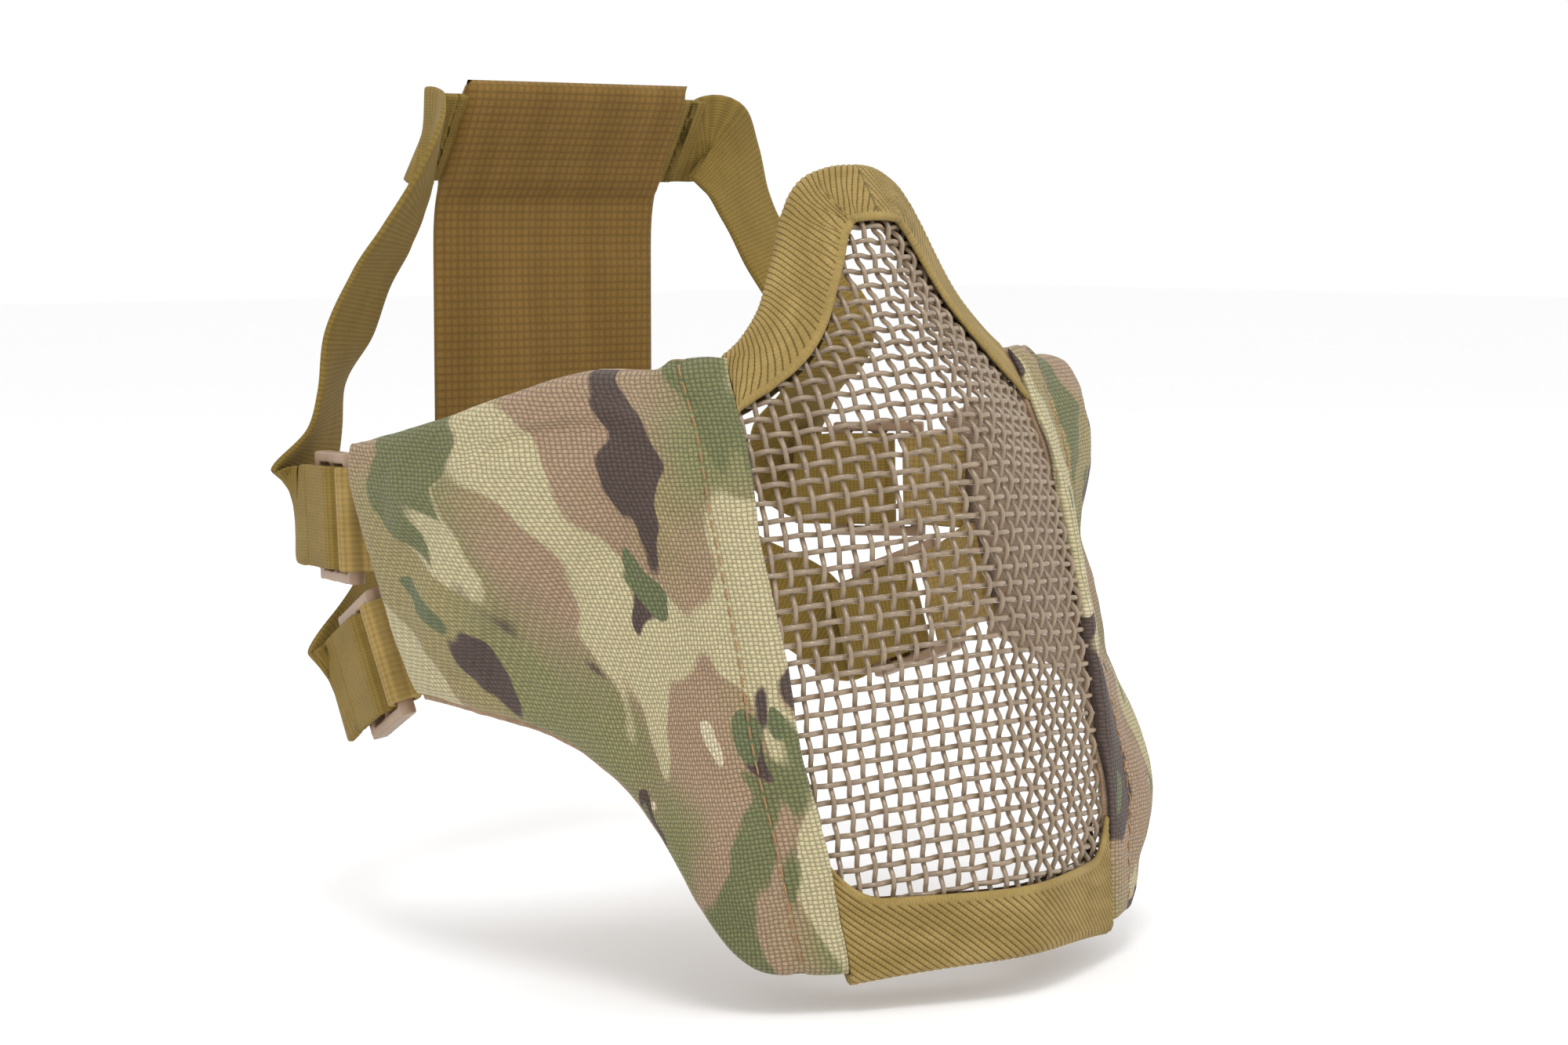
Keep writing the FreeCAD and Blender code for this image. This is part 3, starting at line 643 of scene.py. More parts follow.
class Bundle:
    """Many tubes gathered into one mesh."""

    def __init__(self):
        self.points, self.faces, self.count = [], [], 0

    def add(self, path, normals, radius, sides):
        rings = tube_rings(path, normals, radius, sides)
        rows = len(rings)
        self.points.append(rings.reshape(-1, 3))
        self.faces += grid_faces(rows, sides, self.count, close_columns=True)
        self.faces += [tuple(self.count + k for k in cap) for cap in end_caps(rows, sides)]
        self.count += rows * sides

    def piece(self, name):
        return make_piece(name, np.concatenate(self.points), self.faces)


def lean(arc):
    """How far the cross wires droop away from the ridge."""
    return 0.10 * (math.hypot(arc, 0.008) - 0.008)


def wander(x, y, z):
    return noise.noise(Vector((x, y, z)))


def make_wires(shield):
    bundle = Bundle()
    low, high = shield.zs[0], shield.zs[-1]
    rows = int(shield.ridge[-1] / WIRE_PITCH)
    columns = 16
    fine = np.arange(-1, rows + 1.01, 1 / STEPS_PER_PITCH)

    def height(t, arc):
        return float(np.interp(t * WIRE_PITCH, shield.ridge, shield.zs)) + 0.0008 - lean(arc)

    def place(s, t, lift):
        arc = s * WIRE_PITCH
        z = height(t, arc)
        x = shield.x_at(arc, z)
        return x, z, lift, abs(x) <= shield.limit(z) - 0.0003 and low <= z <= high

    def flush(run):
        if len(run) >= 2 * STEPS_PER_PITCH:
            x = np.array([r[0] for r in run])
            z = np.array([r[1] for r in run])
            lift = np.array([r[2] for r in run])
            normals = shield.normal(x, z)
            bundle.add(shield.point(x, z) + normals * lift[:, None], normals, WIRE_RADIUS, WIRE_SIDES)
        run.clear()

    def crimp(t, parity):
        c = math.cos(math.pi * t)
        return CRIMP * math.copysign(abs(c) ** 0.75, c) * (-1) ** parity

    def string(spots):
        run = []
        for x, z, lift, inside in spots:
            if inside:
                run.append((x, z, lift))
            else:
                flush(run)
        flush(run)

    for i in range(-columns, columns + 1):
        sways = [0.055 * wander(i * 3.7, t * 0.8, 1.5) + 0.10 * wander(i * 0.31, t * 0.13, 7.7)
                 for t in fine]
        string(place(i + sway, t, crimp(t, i)) for t, sway in zip(fine, sways))
    across = np.arange(-columns - 1, columns + 1.01, 1 / STEPS_PER_PITCH)
    for j in range(0, rows + 6):
        sways = [0.06 * wander(s * 0.8, j * 3.1, 4.5) + 0.12 * wander(s * 0.16, j * 0.4, 2.2)
                 for s in across]
        string(place(s, j + sway, crimp(s, j + 1)) for s, sway in zip(across, sways))
    wires = bundle.piece("woven_wires")
    dress(wires, WIRE)
    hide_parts("mesh_shield")
    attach(wires, "face_shield")


# ---- bound edges --------------------------------------------------------------------------------
TAPE_REACH = 0.0021
TAPE_FABRIC = 0.0009
RIB_PITCH = 0.00105
ROPE_PITCH = 0.00068
SELVEDGE = 0.0016
TAPE_STEP = 0.00026
TAPE_GRAIN = 0.00026
TAPE_ROUND = 0.00045
TAPE_END = 0.0009
FOLD_COLUMNS = 12
BACK_COLUMNS = 8


def rib_marks(along, across, width, twill):
    """Rib count, rope count and selvedge share at each place of the tape's corded twill."""
    ribs = (along * twill[0] + across * twill[1]) / RIB_PITCH
    ropes = (along * twill[1] - across * twill[0]) / ROPE_PITCH
    inner = np.clip((across - (width - SELVEDGE)) / 0.0003, 0, 1)
    return ribs, ropes, inner


def rib_height(along, across, width, twill):
    """Coarse relief of the tape, 0 to 1; the selvedge is along its inner edge."""
    ribs, _, inner = rib_marks(along, across, width, twill)
    cord = np.abs(np.sin(math.pi * ribs)) ** 0.7
    roll = 0.75 + 0.6 * np.sin(np.clip((across - (width - SELVEDGE)) / SELVEDGE, 0, 1) * math.pi)
    return cord * (1 - inner) + roll * inner


def make_tape(name, node, shield, edge, inward, widths, twill_at):
    """Folded tape round an edge: edge (N, 2) in x and z, inward its unit directions on the surface."""
    base = shield.point(edge[:, 0], edge[:, 1])
    along = np.concatenate([[0], np.cumsum(np.linalg.norm(np.diff(base, axis=0), axis=1))])
    outer = TAPE_REACH
    inner = TAPE_REACH - TAPE_FABRIC
    widest = float(np.max(widths))
    front = int(widest / TAPE_STEP)
    fold = FOLD_COLUMNS
    points, uv, relief = [], [], []
    for k in range(len(edge)):
        width = widths[k]
        direction = inward[k]
        across = np.concatenate([np.linspace(width, 0, front), np.zeros(fold), np.linspace(0, width, front)])
        over = np.linspace(0, math.pi, fold + 2)[1:-1]
        turn = np.concatenate([np.zeros(front), over, np.full(front, math.pi)])
        spots = base[k] + direction * across[:, None]
        x, z = spots[:, 0], spots[:, 2]
        ground = shield.point(x, z)
        normal = shield.normal(x, z)
        v = np.concatenate([np.linspace(width, 0, front), -outer * turn[front:front + fold],
                            -outer * math.pi - np.linspace(0, width, front)])
        edge_v = np.where(v < -outer * math.pi, -outer * math.pi - v, np.where(v > 0, v, 0))
        twill = twill_at(along[k] / along[-1])
        place = np.where(v > -outer * math.pi, v, edge_v)
        height = rib_height(along[k], place, width, twill)
        ribs, ropes, inner_share = rib_marks(along[k], place, width, twill)
        end = np.clip(np.minimum(width - edge_v, TAPE_END) / TAPE_END, 0, 1)
        rounding = TAPE_ROUND * (1 - np.sqrt(1 - (1 - end) ** 2))
        lift = outer - rounding + TAPE_GRAIN * (height - 0.8)
        out = ground + normal * (np.cos(turn) * lift)[:, None] - direction * (np.sin(turn) * lift)[:, None]
        back_across = np.linspace(width, 0, BACK_COLUMNS)
        hidden_spots = base[k] + direction * back_across[:, None]
        hidden_ground = shield.point(hidden_spots[:, 0], hidden_spots[:, 2])
        hidden_normal = shield.normal(hidden_spots[:, 0], hidden_spots[:, 2])
        back = hidden_ground - hidden_normal * inner
        front_side = (hidden_ground + hidden_normal * inner)[::-1]
        loop = np.concatenate([out, back, front_side])
        points.append(loop)
        uv.append(np.stack([np.full(len(loop), along[k]),
                            np.concatenate([v, -outer * math.pi - back_across, back_across[::-1]])], axis=1))
        rest = np.zeros(2 * BACK_COLUMNS)
        relief.append(np.stack([np.concatenate([inner_share, rest]), np.concatenate([ribs, rest]),
                                np.concatenate([ropes, rest]), np.ones(len(loop))], axis=1))
    points = np.array(points)
    rows, columns = points.shape[:2]
    faces = grid_faces(rows, columns, close_columns=True) + end_caps(rows, columns)
    obj = make_piece(name, points.reshape(-1, 3), faces, np.concatenate(uv))
    layer = obj.data.color_attributes.new("relief", "FLOAT_COLOR", "POINT")
    layer.data.foreach_set("color", np.concatenate(relief).astype(np.float32).ravel())
    dress(obj, TAPE)
    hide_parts(node)
    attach(obj, "face_shield")


def make_bindings(shield):
    arch = [(-x, z) for x, z in NOSE_ARCH] + NOSE_ARCH[-2::-1]
    line = through([(x, 0, z) for x, z in arch], 30) * MM
    lifted = shield.point(line[:, 0], line[:, 2])
    line, at = respaced(lifted, 0.00030)
    x, z = line[:, 0], line[:, 2]
    share = at / at[-1]
    normal = shield.normal(x, z)
    ahead = unit(np.gradient(line, axis=0))
    square = unit(np.cross(ahead, normal))
    side = np.where(x < 0, -1.0, 1.0)
    low = shield.point(side * smooth_between(SEAM, 41) * MM, np.full(len(x), 0.041))
    high = shield.point(side * 0.033, np.full(len(x), 0.051))
    turn = np.clip(np.minimum(share, 1 - share) / 0.13, 0, 1)[:, None]
    inward = unit(unit(low - high) * (1 - turn) + square * turn)
    inward = unit(inward - normal * np.sum(inward * normal, axis=1, keepdims=True))
    widths = np.full(len(x), 0.0106)

    def nose_twill(t):
        return (math.sin(1.15), math.cos(1.15)) if t < 0.5 else (math.sin(1.15), -math.cos(1.15))

    edge = np.stack([x, z], axis=1)
    make_tape("nose_binding_tape", "nose_binding", shield, edge, inward, widths, nose_twill)

    count = 230
    u = np.linspace(-1, 1, count)
    low_x = u * (SEAM[0][1] - 0.3) * MM
    low_z = (CHIN_Z + CHIN_RISE * (1 - (u * (SEAM[0][1] - 0.3) / SEAM[0][1]) ** 2)) * MM
    top = smooth_between(SEAM, CHIN_TOP) - 0.3
    lows = shield.point(low_x, low_z)
    corner = np.clip((np.abs(u) - 0.72) / 0.28, 0, 1) ** 2.2 * 0.0065
    highs = shield.point(u * top * MM, np.full(count, (CHIN_TOP + 0.6) * MM) - 0.0045 + corner)
    normal = shield.normal(low_x, low_z)
    inward = unit(highs - lows)
    inward = unit(inward - normal * np.sum(inward * normal, axis=1, keepdims=True))
    widths = np.linalg.norm(highs - lows, axis=1)
    make_tape("chin_binding_tape", "chin_binding", shield, np.stack([low_x, low_z], axis=1), inward, widths,
              lambda t: (math.sin(0.75), math.cos(0.75)))


# ---- side wings ---------------------------------------------------------------------------------
AXIS_Y = 0.060
RIM_GRADES = [0.0, 0.0002, 0.0008, 0.0018, 0.0032, 0.0050]
RIM_ROUND = 0.0030
CELL = 0.0019
STITCH_AT = 0.0090
PUFF_CAP = 0.0022
REAR_LOW = -0.0088
REAR_HIGH = 0.0335
FRONT_TURN = 0.0175
FRONT_OUT = 0.0010
LEAST_THICK = 0.0022
LINING_DROP = 0.0014


def spoke(turn):
    return np.array([math.sin(turn), -math.cos(turn), 0.0])


def graded(length):
    """Shares from 0 to 1, close together near both ends and evenly spread between."""
    ends = [g / length for g in RIM_GRADES]
    count = max(4, int((length - 2 * RIM_GRADES[-1]) / CELL))
    middle = list(np.linspace(ends[-1], 1 - ends[-1], count))
    return np.array(ends[:-1] + middle + [1 - e for e in ends[-2::-1]])


class Wing:
    """The wearer's left wing as a grid of places between its edges, with its outer and inner skins."""

    def __init__(self):
        outline = edges_of("left_wing_cover", "left_front_hem")
        self.outer = tree_of("left_wing_cover", "left_front_hem")
        self.inner = tree_of("left_wing_lining", "left_front_hem")
        low = min(outline[0][:, 2].min(), outline[1][:, 2].min())
        high = max(outline[0][:, 2].max(), outline[1][:, 2].max())
        self.zs = np.linspace(low + 0.0003, high - 0.0003, 120)
        fronts, rears = [], []
        for z in self.zs:
            cut = crossings(outline, np.array([0, 0, z]), (0, 0, 1))
            turns = np.arctan2(cut[:, 0], AXIS_Y - cut[:, 1])
            fronts.append(turns.min())
            rears.append(turns.max())
        self.fronts, self.rears = np.array(fronts), np.array(rears)
        settled = np.searchsorted(self.zs, low + 0.0012)
        self.fronts[:settled] = self.fronts[settled]
        turns = np.linspace(self.fronts.min() + 0.002, self.rears.max() - 0.002, 200)
        bottoms, tops = [], []
        centre = np.array([0, AXIS_Y, 0])
        for turn in turns:
            cut = crossings(outline, centre, (math.cos(turn), math.sin(turn), 0))
            cut = cut[(cut - centre) @ spoke(turn) > 0]
            bottoms.append(cut[:, 2].min())
            tops.append(cut[:, 2].max())
        bottoms = np.minimum.accumulate(np.array(bottoms)[::-1])[::-1]
        heel = np.interp(REAR_LOW, self.zs, self.rears)
        peak = np.interp(REAR_HIGH, self.zs, self.rears)
        brow = self.fronts.max()
        low_part = turns < heel - 0.01
        high_part = (turns > brow + 0.02) & (turns < peak - 0.01)
        self.low_turns, self.bottoms = turns[low_part], bottoms[low_part]
        self.high_turns, self.tops = turns[high_part], np.array(tops)[high_part]
        self.a = graded(0.100)
        self.b = graded(0.075)
        self.measure()

    def where(self, a, b):
        """Turn about the axis and height of a place: a runs from the front edge to the rear, b upwards."""
        rear = np.interp(REAR_LOW + (REAR_HIGH - REAR_LOW) * b, self.zs, self.rears)
        z = 0.0
        for _ in range(25):
            front = np.interp(z, self.zs, self.fronts)
            turn = front + (rear - front) * a
            bottom = np.interp(turn, self.low_turns, self.bottoms)
            top = np.interp(turn, self.high_turns, self.tops)
            z = 0.3 * z + 0.7 * (bottom + (top - bottom) * b)
        return turn, z

    def skin(self, turn, z, tree, sign):
        """Distance of a skin from the axis: from outside (+1) or from inside (-1)."""
        out = Vector(spoke(turn))
        centre = Vector((0, AXIS_Y, z))
        origin = centre + out * 0.3 if sign > 0 else centre
        hit, normal, _, _ = tree.ray_cast(origin, out * -sign)
        if hit is None or abs(normal.dot(out)) < 0.35:
            return math.nan
        return (hit - centre).dot(out)

    def measure(self):
        rows, columns = len(self.a), len(self.b)
        self.turn = np.zeros((rows, columns))
        self.z = np.zeros((rows, columns))
        self.far = np.zeros((rows, columns))
        self.near = np.zeros((rows, columns))
        for i, a in enumerate(self.a):
            for j, b in enumerate(self.b):
                self.turn[i, j], self.z[i, j] = self.where(a, b)
                turn, z = self.where(min(max(a, 0.008), 0.992), min(max(b, 0.010), 0.990))
                self.far[i, j] = self.skin(turn, z, self.outer, 1)
                self.near[i, j] = self.skin(turn, z, self.inner, -1)
        for field in (self.far, self.near):
            for j in range(columns):
                line = field[:, j]
                known = ~np.isnan(line)
                line[:] = np.interp(self.a, self.a[known], line[known]) if known.sum() > 3 else np.nan
            for i in range(rows):
                line = field[i]
                known = ~np.isnan(line)
                line[:] = np.interp(self.b, self.b[known], line[known])
        self.far = self.eased(self.far)
        self.near = self.eased(self.near)
        self.near = np.minimum(self.near, self.far - LEAST_THICK)
        ahead = np.clip(1 - self.a / 0.09, 0, 1)[:, None] ** 2
        self.turn -= FRONT_TURN * ahead
        self.far += FRONT_OUT * ahead

    def eased(self, field):
        for _ in range(3):
            field[1:-1] = (field[:-2] + 2 * field[1:-1] + field[2:]) / 4
            field[:, 1:-1] = (field[:, :-2] + 2 * field[:, 1:-1] + field[:, 2:]) / 4
        return field

    def place(self, radius):
        return np.stack([np.sin(self.turn) * radius, AXIS_Y - np.cos(self.turn) * radius, self.z], axis=-1)


def rounded(inset, radius):
    """0 on the rim, rising in a quarter circle to 1 at the radius."""
    return np.sqrt(np.clip(1 - (1 - np.clip(inset / radius, 0, 1)) ** 2, 0, 1))[..., None]


def closed_skin(top, under):
    """Points and faces of two grids that share their rim, and each grid's point numbers."""
    rows, columns = top.shape[:2]
    points = list(top.reshape(-1, 3))
    index_top = np.arange(rows * columns).reshape(rows, columns)
    index_under = index_top.copy()
    for i in range(1, rows - 1):
        for j in range(1, columns - 1):
            index_under[i, j] = len(points)
            points.append(under[i, j])
    faces = []
    for i in range(rows - 1):
        for j in range(columns - 1):
            cell = [(i, j), (i + 1, j), (i + 1, j + 1), (i, j + 1)]
            faces.append(tuple(index_top[c] for c in cell))
            faces.append(tuple(index_under[c] for c in (cell[0], cell[3], cell[2], cell[1])))
    return np.array(points), faces, index_top, index_under


def pillow(outer, hidden, edge, inset):
    """Closed skin: outer grid, hidden grid behind it, meeting at a rounded rim; inset is 0 on the rim."""
    bulge = rounded(inset, RIM_ROUND)
    return closed_skin(edge + (outer - edge) * bulge, edge + (hidden - edge) * bulge)


def grid_inset(grid):
    """Rough distance of each grid place from the grid's rim, along its surface."""
    along = np.zeros(grid.shape[:2])
    along[1:] = np.cumsum(np.linalg.norm(np.diff(grid, axis=0), axis=2), axis=0)
    across = np.zeros(grid.shape[:2])
    across[:, 1:] = np.cumsum(np.linalg.norm(np.diff(grid, axis=1), axis=2), axis=1)
    inset = np.minimum(np.minimum(along, along[-1:] - along), np.minimum(across, across[:, -1:] - across))
    return inset, along, across


def wing_uv(points, top, under, along, across, z):
    uv = np.zeros((len(points), 2))
    for index in (under, top):
        uv[index.ravel(), 0] = along.ravel()
        uv[index.ravel(), 1] = z.ravel() * 1.02
    return uv


CLOTH = {"quality": 6, "mass": 0.25, "tension_stiffness": 18, "compression_stiffness": 14,
         "shear_stiffness": 6, "bending_stiffness": 0.4, "use_pressure": True,
         "uniform_pressure_force": 4.0, "shrink_min": -0.035, "vertex_group_mass": "held"}
CLOTH_FRAMES = 20


def puff(objects):
    """Let the cloth swell a little under pressure, hold it to a cap, and keep the result."""
    scene = bpy.context.scene
    before = {}
    for obj in objects:
        cloth = obj.modifiers.new("swell", "CLOTH")
        settings = cloth.settings
        for key, value in CLOTH.items():
            setattr(settings, key, value)
        settings.effector_weights.gravity = 0.0
        cloth.collision_settings.use_collision = False
        cloth.point_cache.frame_start = 1
        cloth.point_cache.frame_end = CLOTH_FRAMES
        before[obj.name] = places_of(obj.data)
    for frame_number in range(1, CLOTH_FRAMES + 1):
        scene.frame_set(frame_number)
    graph = bpy.context.evaluated_depsgraph_get()
    after = {}
    for obj in objects:
        shaped = obj.evaluated_get(graph).to_mesh()
        after[obj.name] = np.array([v.co[:] for v in shaped.vertices])
        obj.evaluated_get(graph).to_mesh_clear()
    for obj in objects:
        obj.modifiers.clear()
        start = before[obj.name]
        move = after[obj.name] - start
        size = np.linalg.norm(move, axis=1, keepdims=True)
        move *= np.minimum(1.0, PUFF_CAP / np.maximum(size, 1e-9))
        set_places(obj.data, start + move)
    scene.frame_set(1)


def settle(obj):
    """Keep the shape that the modifiers give, and remove them."""
    graph = bpy.context.evaluated_depsgraph_get()
    mesh = bpy.data.meshes.new_from_object(obj.evaluated_get(graph))
    obj.modifiers.clear()
    obj.data = mesh
    shade_smooth(mesh)
    return obj


def refined(obj):
    """One Catmull-Clark subdivision kept in the mesh."""
    modifier = obj.modifiers.new("finer", "SUBSURF")
    modifier.levels = 1
    modifier.uv_smooth = "PRESERVE_BOUNDARIES"
    return settle(obj)


def vertex_uv(mesh):
    flat = np.zeros(len(mesh.loops) * 2, dtype=np.float32)
    mesh.uv_layers["UVMap"].data.foreach_get("uv", flat)
    uv = np.zeros((len(mesh.vertices), 2))
    uv[corner_vertices(mesh)] = flat.reshape(-1, 2)
    return uv


def sculpt(obj, height):
    """Move each vertex along its normal by height(uv, place)."""
    mesh = obj.data
    place = places_of(mesh)
    normal = np.array([v.normal[:] for v in mesh.vertices])
    set_places(mesh, place + normal * height(vertex_uv(mesh), place)[:, None])


def ripple(place, scale, seed):
    return np.array([noise.noise(Vector(p) * scale + Vector((seed, seed * 2.3, 0))) for p in place])


def hold(obj, weights):
    group = obj.vertex_groups.new(name="held")
    for index, weight in enumerate(weights):
        group.add([index], float(weight), "REPLACE")


def blend_wing(obj):
    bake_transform(obj)


def nap(uv, place):
    """Relief of the lining's brushed cloth."""
    return 0.00022 * ripple(place, 140, 4.4) + 0.00012 * ripple(place, 520, 1.9)


def make_wings(wing):
    grid = wing.place(wing.far)
    inset, along, across = grid_inset(grid)
    thick = wing.far - wing.near
    lining_share = np.clip(0.0016 / thick, 0.1, 0.45)
    seam = wing.place(wing.near + thick * lining_share)
    inner = wing.place(wing.near)
    rim = wing.place(wing.near + thick * np.clip(lining_share + 0.22, 0, 0.8))
    covers, linings = [], []
    for side, word in ((1, "left"), (-1, "right")):
        flip = np.array([side, 1, 1])
        points, faces, top, under = pillow(grid, seam, rim, inset)
        uv = wing_uv(points, top, under, along, across, wing.z)
        uv = uv + np.array([0.0, 0.0 if side > 0 else 0.37])
        if side < 0:
            faces = [f[::-1] for f in faces]
        cover = make_piece(word + "_wing_cloth", points * flip, faces, uv)
        loose = np.zeros(len(points))
        loose[top.ravel()] = 1.0
        rim_grip = np.clip((inset - 0.0010) / 0.0080, 0, 1)
        hem_grip = np.clip((along - 0.0095) / 0.0060, 0, 1)
        loose[top.ravel()] = (rim_grip * hem_grip).ravel()
        hold(cover, 1 - loose)
        covers.append((cover, side, word))

        low_rim = wing.place(wing.near + thick * lining_share * 0.6)
        drop = np.clip(1 - wing.b / 0.03, 0, 1)[None, :] * np.clip((wing.a - 0.18) / 0.1, 0, 1)[:, None]
        low_rim[..., 2] -= LINING_DROP * drop
        points, faces, top, under = pillow(inner, seam + (grid - seam) * 0.15, low_rim, inset)
        faces = [f[::-1] for f in faces] if side > 0 else faces
        uv = wing_uv(points, top, under, along, across, wing.z)
        lining = make_piece(word + "_wing_inside", points * flip, faces, uv)
        linings.append((lining, side, word))
    puff([c[0] for c in covers])
    for cover, side, word in covers:
        refined(cover)
        seed = 3.1 if side > 0 else 8.7

        def relief(uv, place):
            groove = -0.00045 * np.exp(-((uv[:, 0] - STITCH_AT) / 0.0008) ** 2)
            lip = 0.00020 * np.exp(-((uv[:, 0] - STITCH_AT * 0.45) / 0.0028) ** 2)
            soft = 0.00035 * ripple(place, 95, seed) + 0.00016 * ripple(place, 260, seed + 5)
            seam_share = np.exp(-((uv[:, 0] - STITCH_AT) / 0.0028) ** 2)
            puckers = 0.00022 * np.sin(uv[:, 1] * 2 * math.pi / 0.0034) * seam_share
            return groove + lip + soft + puckers

        sculpt(cover, relief)
        dress(cover, CAMO)
        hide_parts(word + "_wing_cover", word + "_front_hem", word + "_wing_foam")
        make_stitches(wing, cover, side, word, along)
        blend_wing(cover)
    for lining, side, word in linings:
        refined(lining)
        sculpt(lining, nap)
        dress(lining, LINING)
        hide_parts(word + "_wing_lining")
        blend_wing(lining)


DASH = 0.0021
DASH_PITCH = 0.0029
DASH_POINTS = 7


def make_stitches(wing, cover, side, word, along):
    """Short dashes of thread in the groove behind the wing's front edge."""
    tree = BVHTree.FromObject(cover, bpy.context.evaluated_depsgraph_get())
    turns, heights = [], []
    for j in range(2, len(wing.b) - 2):
        turns.append(np.interp(STITCH_AT, along[:, j], wing.turn[:, j]))
        heights.append(np.interp(STITCH_AT, along[:, j], wing.z[:, j]))
    bundle = Bundle()
    z = heights[0] + 0.0015
    flip = Vector((side, 1, 1))
    while z < heights[-1] - 0.002:
        line, normals = [], []
        for k in range(DASH_POINTS):
            share = k / (DASH_POINTS - 1)
            level = z + DASH * share
            turn = float(np.interp(level, heights, turns))
            out = Vector(spoke(turn)) * flip
            hit, normal, _, _ = tree.ray_cast(Vector((0, AXIS_Y, level)) + out * 0.3, -out)
            if hit is None:
                continue
            line.append(np.array(hit + normal * (0.00026 * math.sin(math.pi * share) ** 0.6 - 0.00010)))
            normals.append(np.array(normal))
        if len(line) == DASH_POINTS:
            bundle.add(np.array(line), np.array(normals), 0.00016, 7)
        z += DASH_PITCH
    thread = bundle.piece(word + "_wing_stitches")
    dress(thread, THREAD)
    blend_wing(thread)


# ---- webbing ------------------------------------------------------------------------------------
STRAP_HALF = 0.0095
STRAP_FLAT = 0.0006
STARTS = {
    "upper": ((66.227, 97.383, 19.301), (-0.3019, 0.9526, -0.0380), (0.0147, 0.0445, 0.9989)),
    "lower": ((65.191, 86.766, -11.763), (-0.2824, 0.8888, -0.3610), (0.0614, 0.3922, 0.9178)),
}
EXITS = {
    "upper": ((31.0, 104.5, 90.258), (0.0, -0.5, 0.8660)),
    "lower": ((31.0, 111.0, 15.0), (0.0, 0.0, 1.0)),
}


def band_section():
    """Outline of flat webbing, -1 to 1 across and -1 to 1 through."""
    flat = [(-0.97, -0.85), (-0.9, -1.0), (-0.6, -1.0), (-0.3, -1.0), (0.0, -1.0), (0.3, -1.0), (0.6, -1.0),
            (0.9, -1.0), (0.97, -0.85), (1.0, -0.4)]
    return flat + [(-x, -y) for x, y in flat]


def ribbon_rings(middle, edge):
    """Rings of webbing with rounded selvedges, and the distance along it; edge is its width's direction."""
    ahead = unit(np.gradient(middle, axis=0))
    edge = unit(edge - ahead * np.sum(edge * ahead, axis=1, keepdims=True))
    through_it = np.cross(ahead, edge)
    gaps = np.linalg.norm(np.diff(middle, axis=0), axis=1)
    along = np.concatenate([[0], np.cumsum(gaps)])
    rings = [middle + edge * (x * STRAP_HALF) + through_it * (y * STRAP_FLAT) for x, y in band_section()]
    return np.stack(rings, axis=1), along


def ribbon_piece(name, rings, along, caps):
    rows, columns = rings.shape[:2]
    across = [x * STRAP_HALF for x, _ in band_section()]
    uv = np.stack([np.repeat(along, columns), np.tile(across, rows)], axis=1)
    faces = grid_faces(rows, columns, close_columns=True) + caps
    piece = make_piece(name, rings.reshape(-1, 3), faces, uv)
    return dress(piece, WEBBING)


def run_line(side, level):
    """Middle places and width directions of a strap run, in metres, on its own side."""
    start, rear, bar = (np.array(v) for v in STARTS[level])
    leave, leave_edge = (np.array(v) for v in EXITS[level])
    stations = RUNS["lower" if level == "lower" else side + "_" + level]
    turns = [unit(e) for _, e in stations]
    if leave_edge @ turns[-1] < 0:
        leave_edge = -leave_edge
    inside = leave + np.array([3.0, 0, 0])
    points = [start, start + rear * 6] + [np.array(p) for p, _ in stations] + [inside, leave]
    edges = [bar, bar] + turns + [leave_edge, leave_edge]
    middle = through(points, 10)
    rims = through([p + e * 9.5 for p, e in zip(points, edges)], 10)
    edge = unit(rims - middle)
    middle = np.concatenate([[start - rear * 2.2], middle, [leave - np.array([2.2, 0, 0])]])
    edge = np.concatenate([[bar], edge, [leave_edge]])
    flip = np.array([1 if side == "left" else -1, 1, 1])
    return middle * MM * flip, edge * flip


# Where each strap run is split into pieces, as shares of its length
CUTS = {"upper": (0.22, 0.5), "lower": (0.22, 0.85)}


def make_runs():
    for side in ("left", "right"):
        for level in ("upper", "lower"):
            middle, edge = run_line(side, level)
            node = side + "_" + level + "_strap"
            count = len(middle)
            cuts = [0] + [int(count * share) for share in CUTS[level]] + [count - 1]
            pairs = [(side + "_" + level + "_slider", side + "_wing"), (side + "_wing", "face_shield"),
                     ("face_shield", "rear_harness")]
            rings, along = ribbon_rings(middle, edge)
            for k, (a, b) in enumerate(pairs):
                first, last = cuts[k], cuts[k + 1]
                start_cap, end_cap = end_caps(last + 1 - first, rings.shape[1])
                caps = {0: [start_cap], 2: [end_cap]}.get(k, [])
                part = slice(first, last + 1)
                piece = ribbon_piece("%s_%d" % (node, k + 1), rings[part], along[part], caps)
                if k == 0:
                    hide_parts(node)
                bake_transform(piece)


CORE_REACH = 30.8
CORE_ROWS = 60


def make_cores():
    for level in ("upper", "lower"):
        leave, edge = (np.array(v) for v in EXITS[level])
        x = np.linspace(-CORE_REACH, CORE_REACH, CORE_ROWS)
        middle = np.stack([x, np.full(CORE_ROWS, leave[1]), np.full(CORE_ROWS, leave[2])], axis=1) * MM
        rings, along = ribbon_rings(middle, np.tile(edge, (CORE_ROWS, 1)))
        core = ribbon_piece(level + "_strap_inside", rings, along, end_caps(CORE_ROWS, rings.shape[1]))
        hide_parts(level + "_strap_core")
        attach(core, "rear_harness")


VOXEL = 0.00030


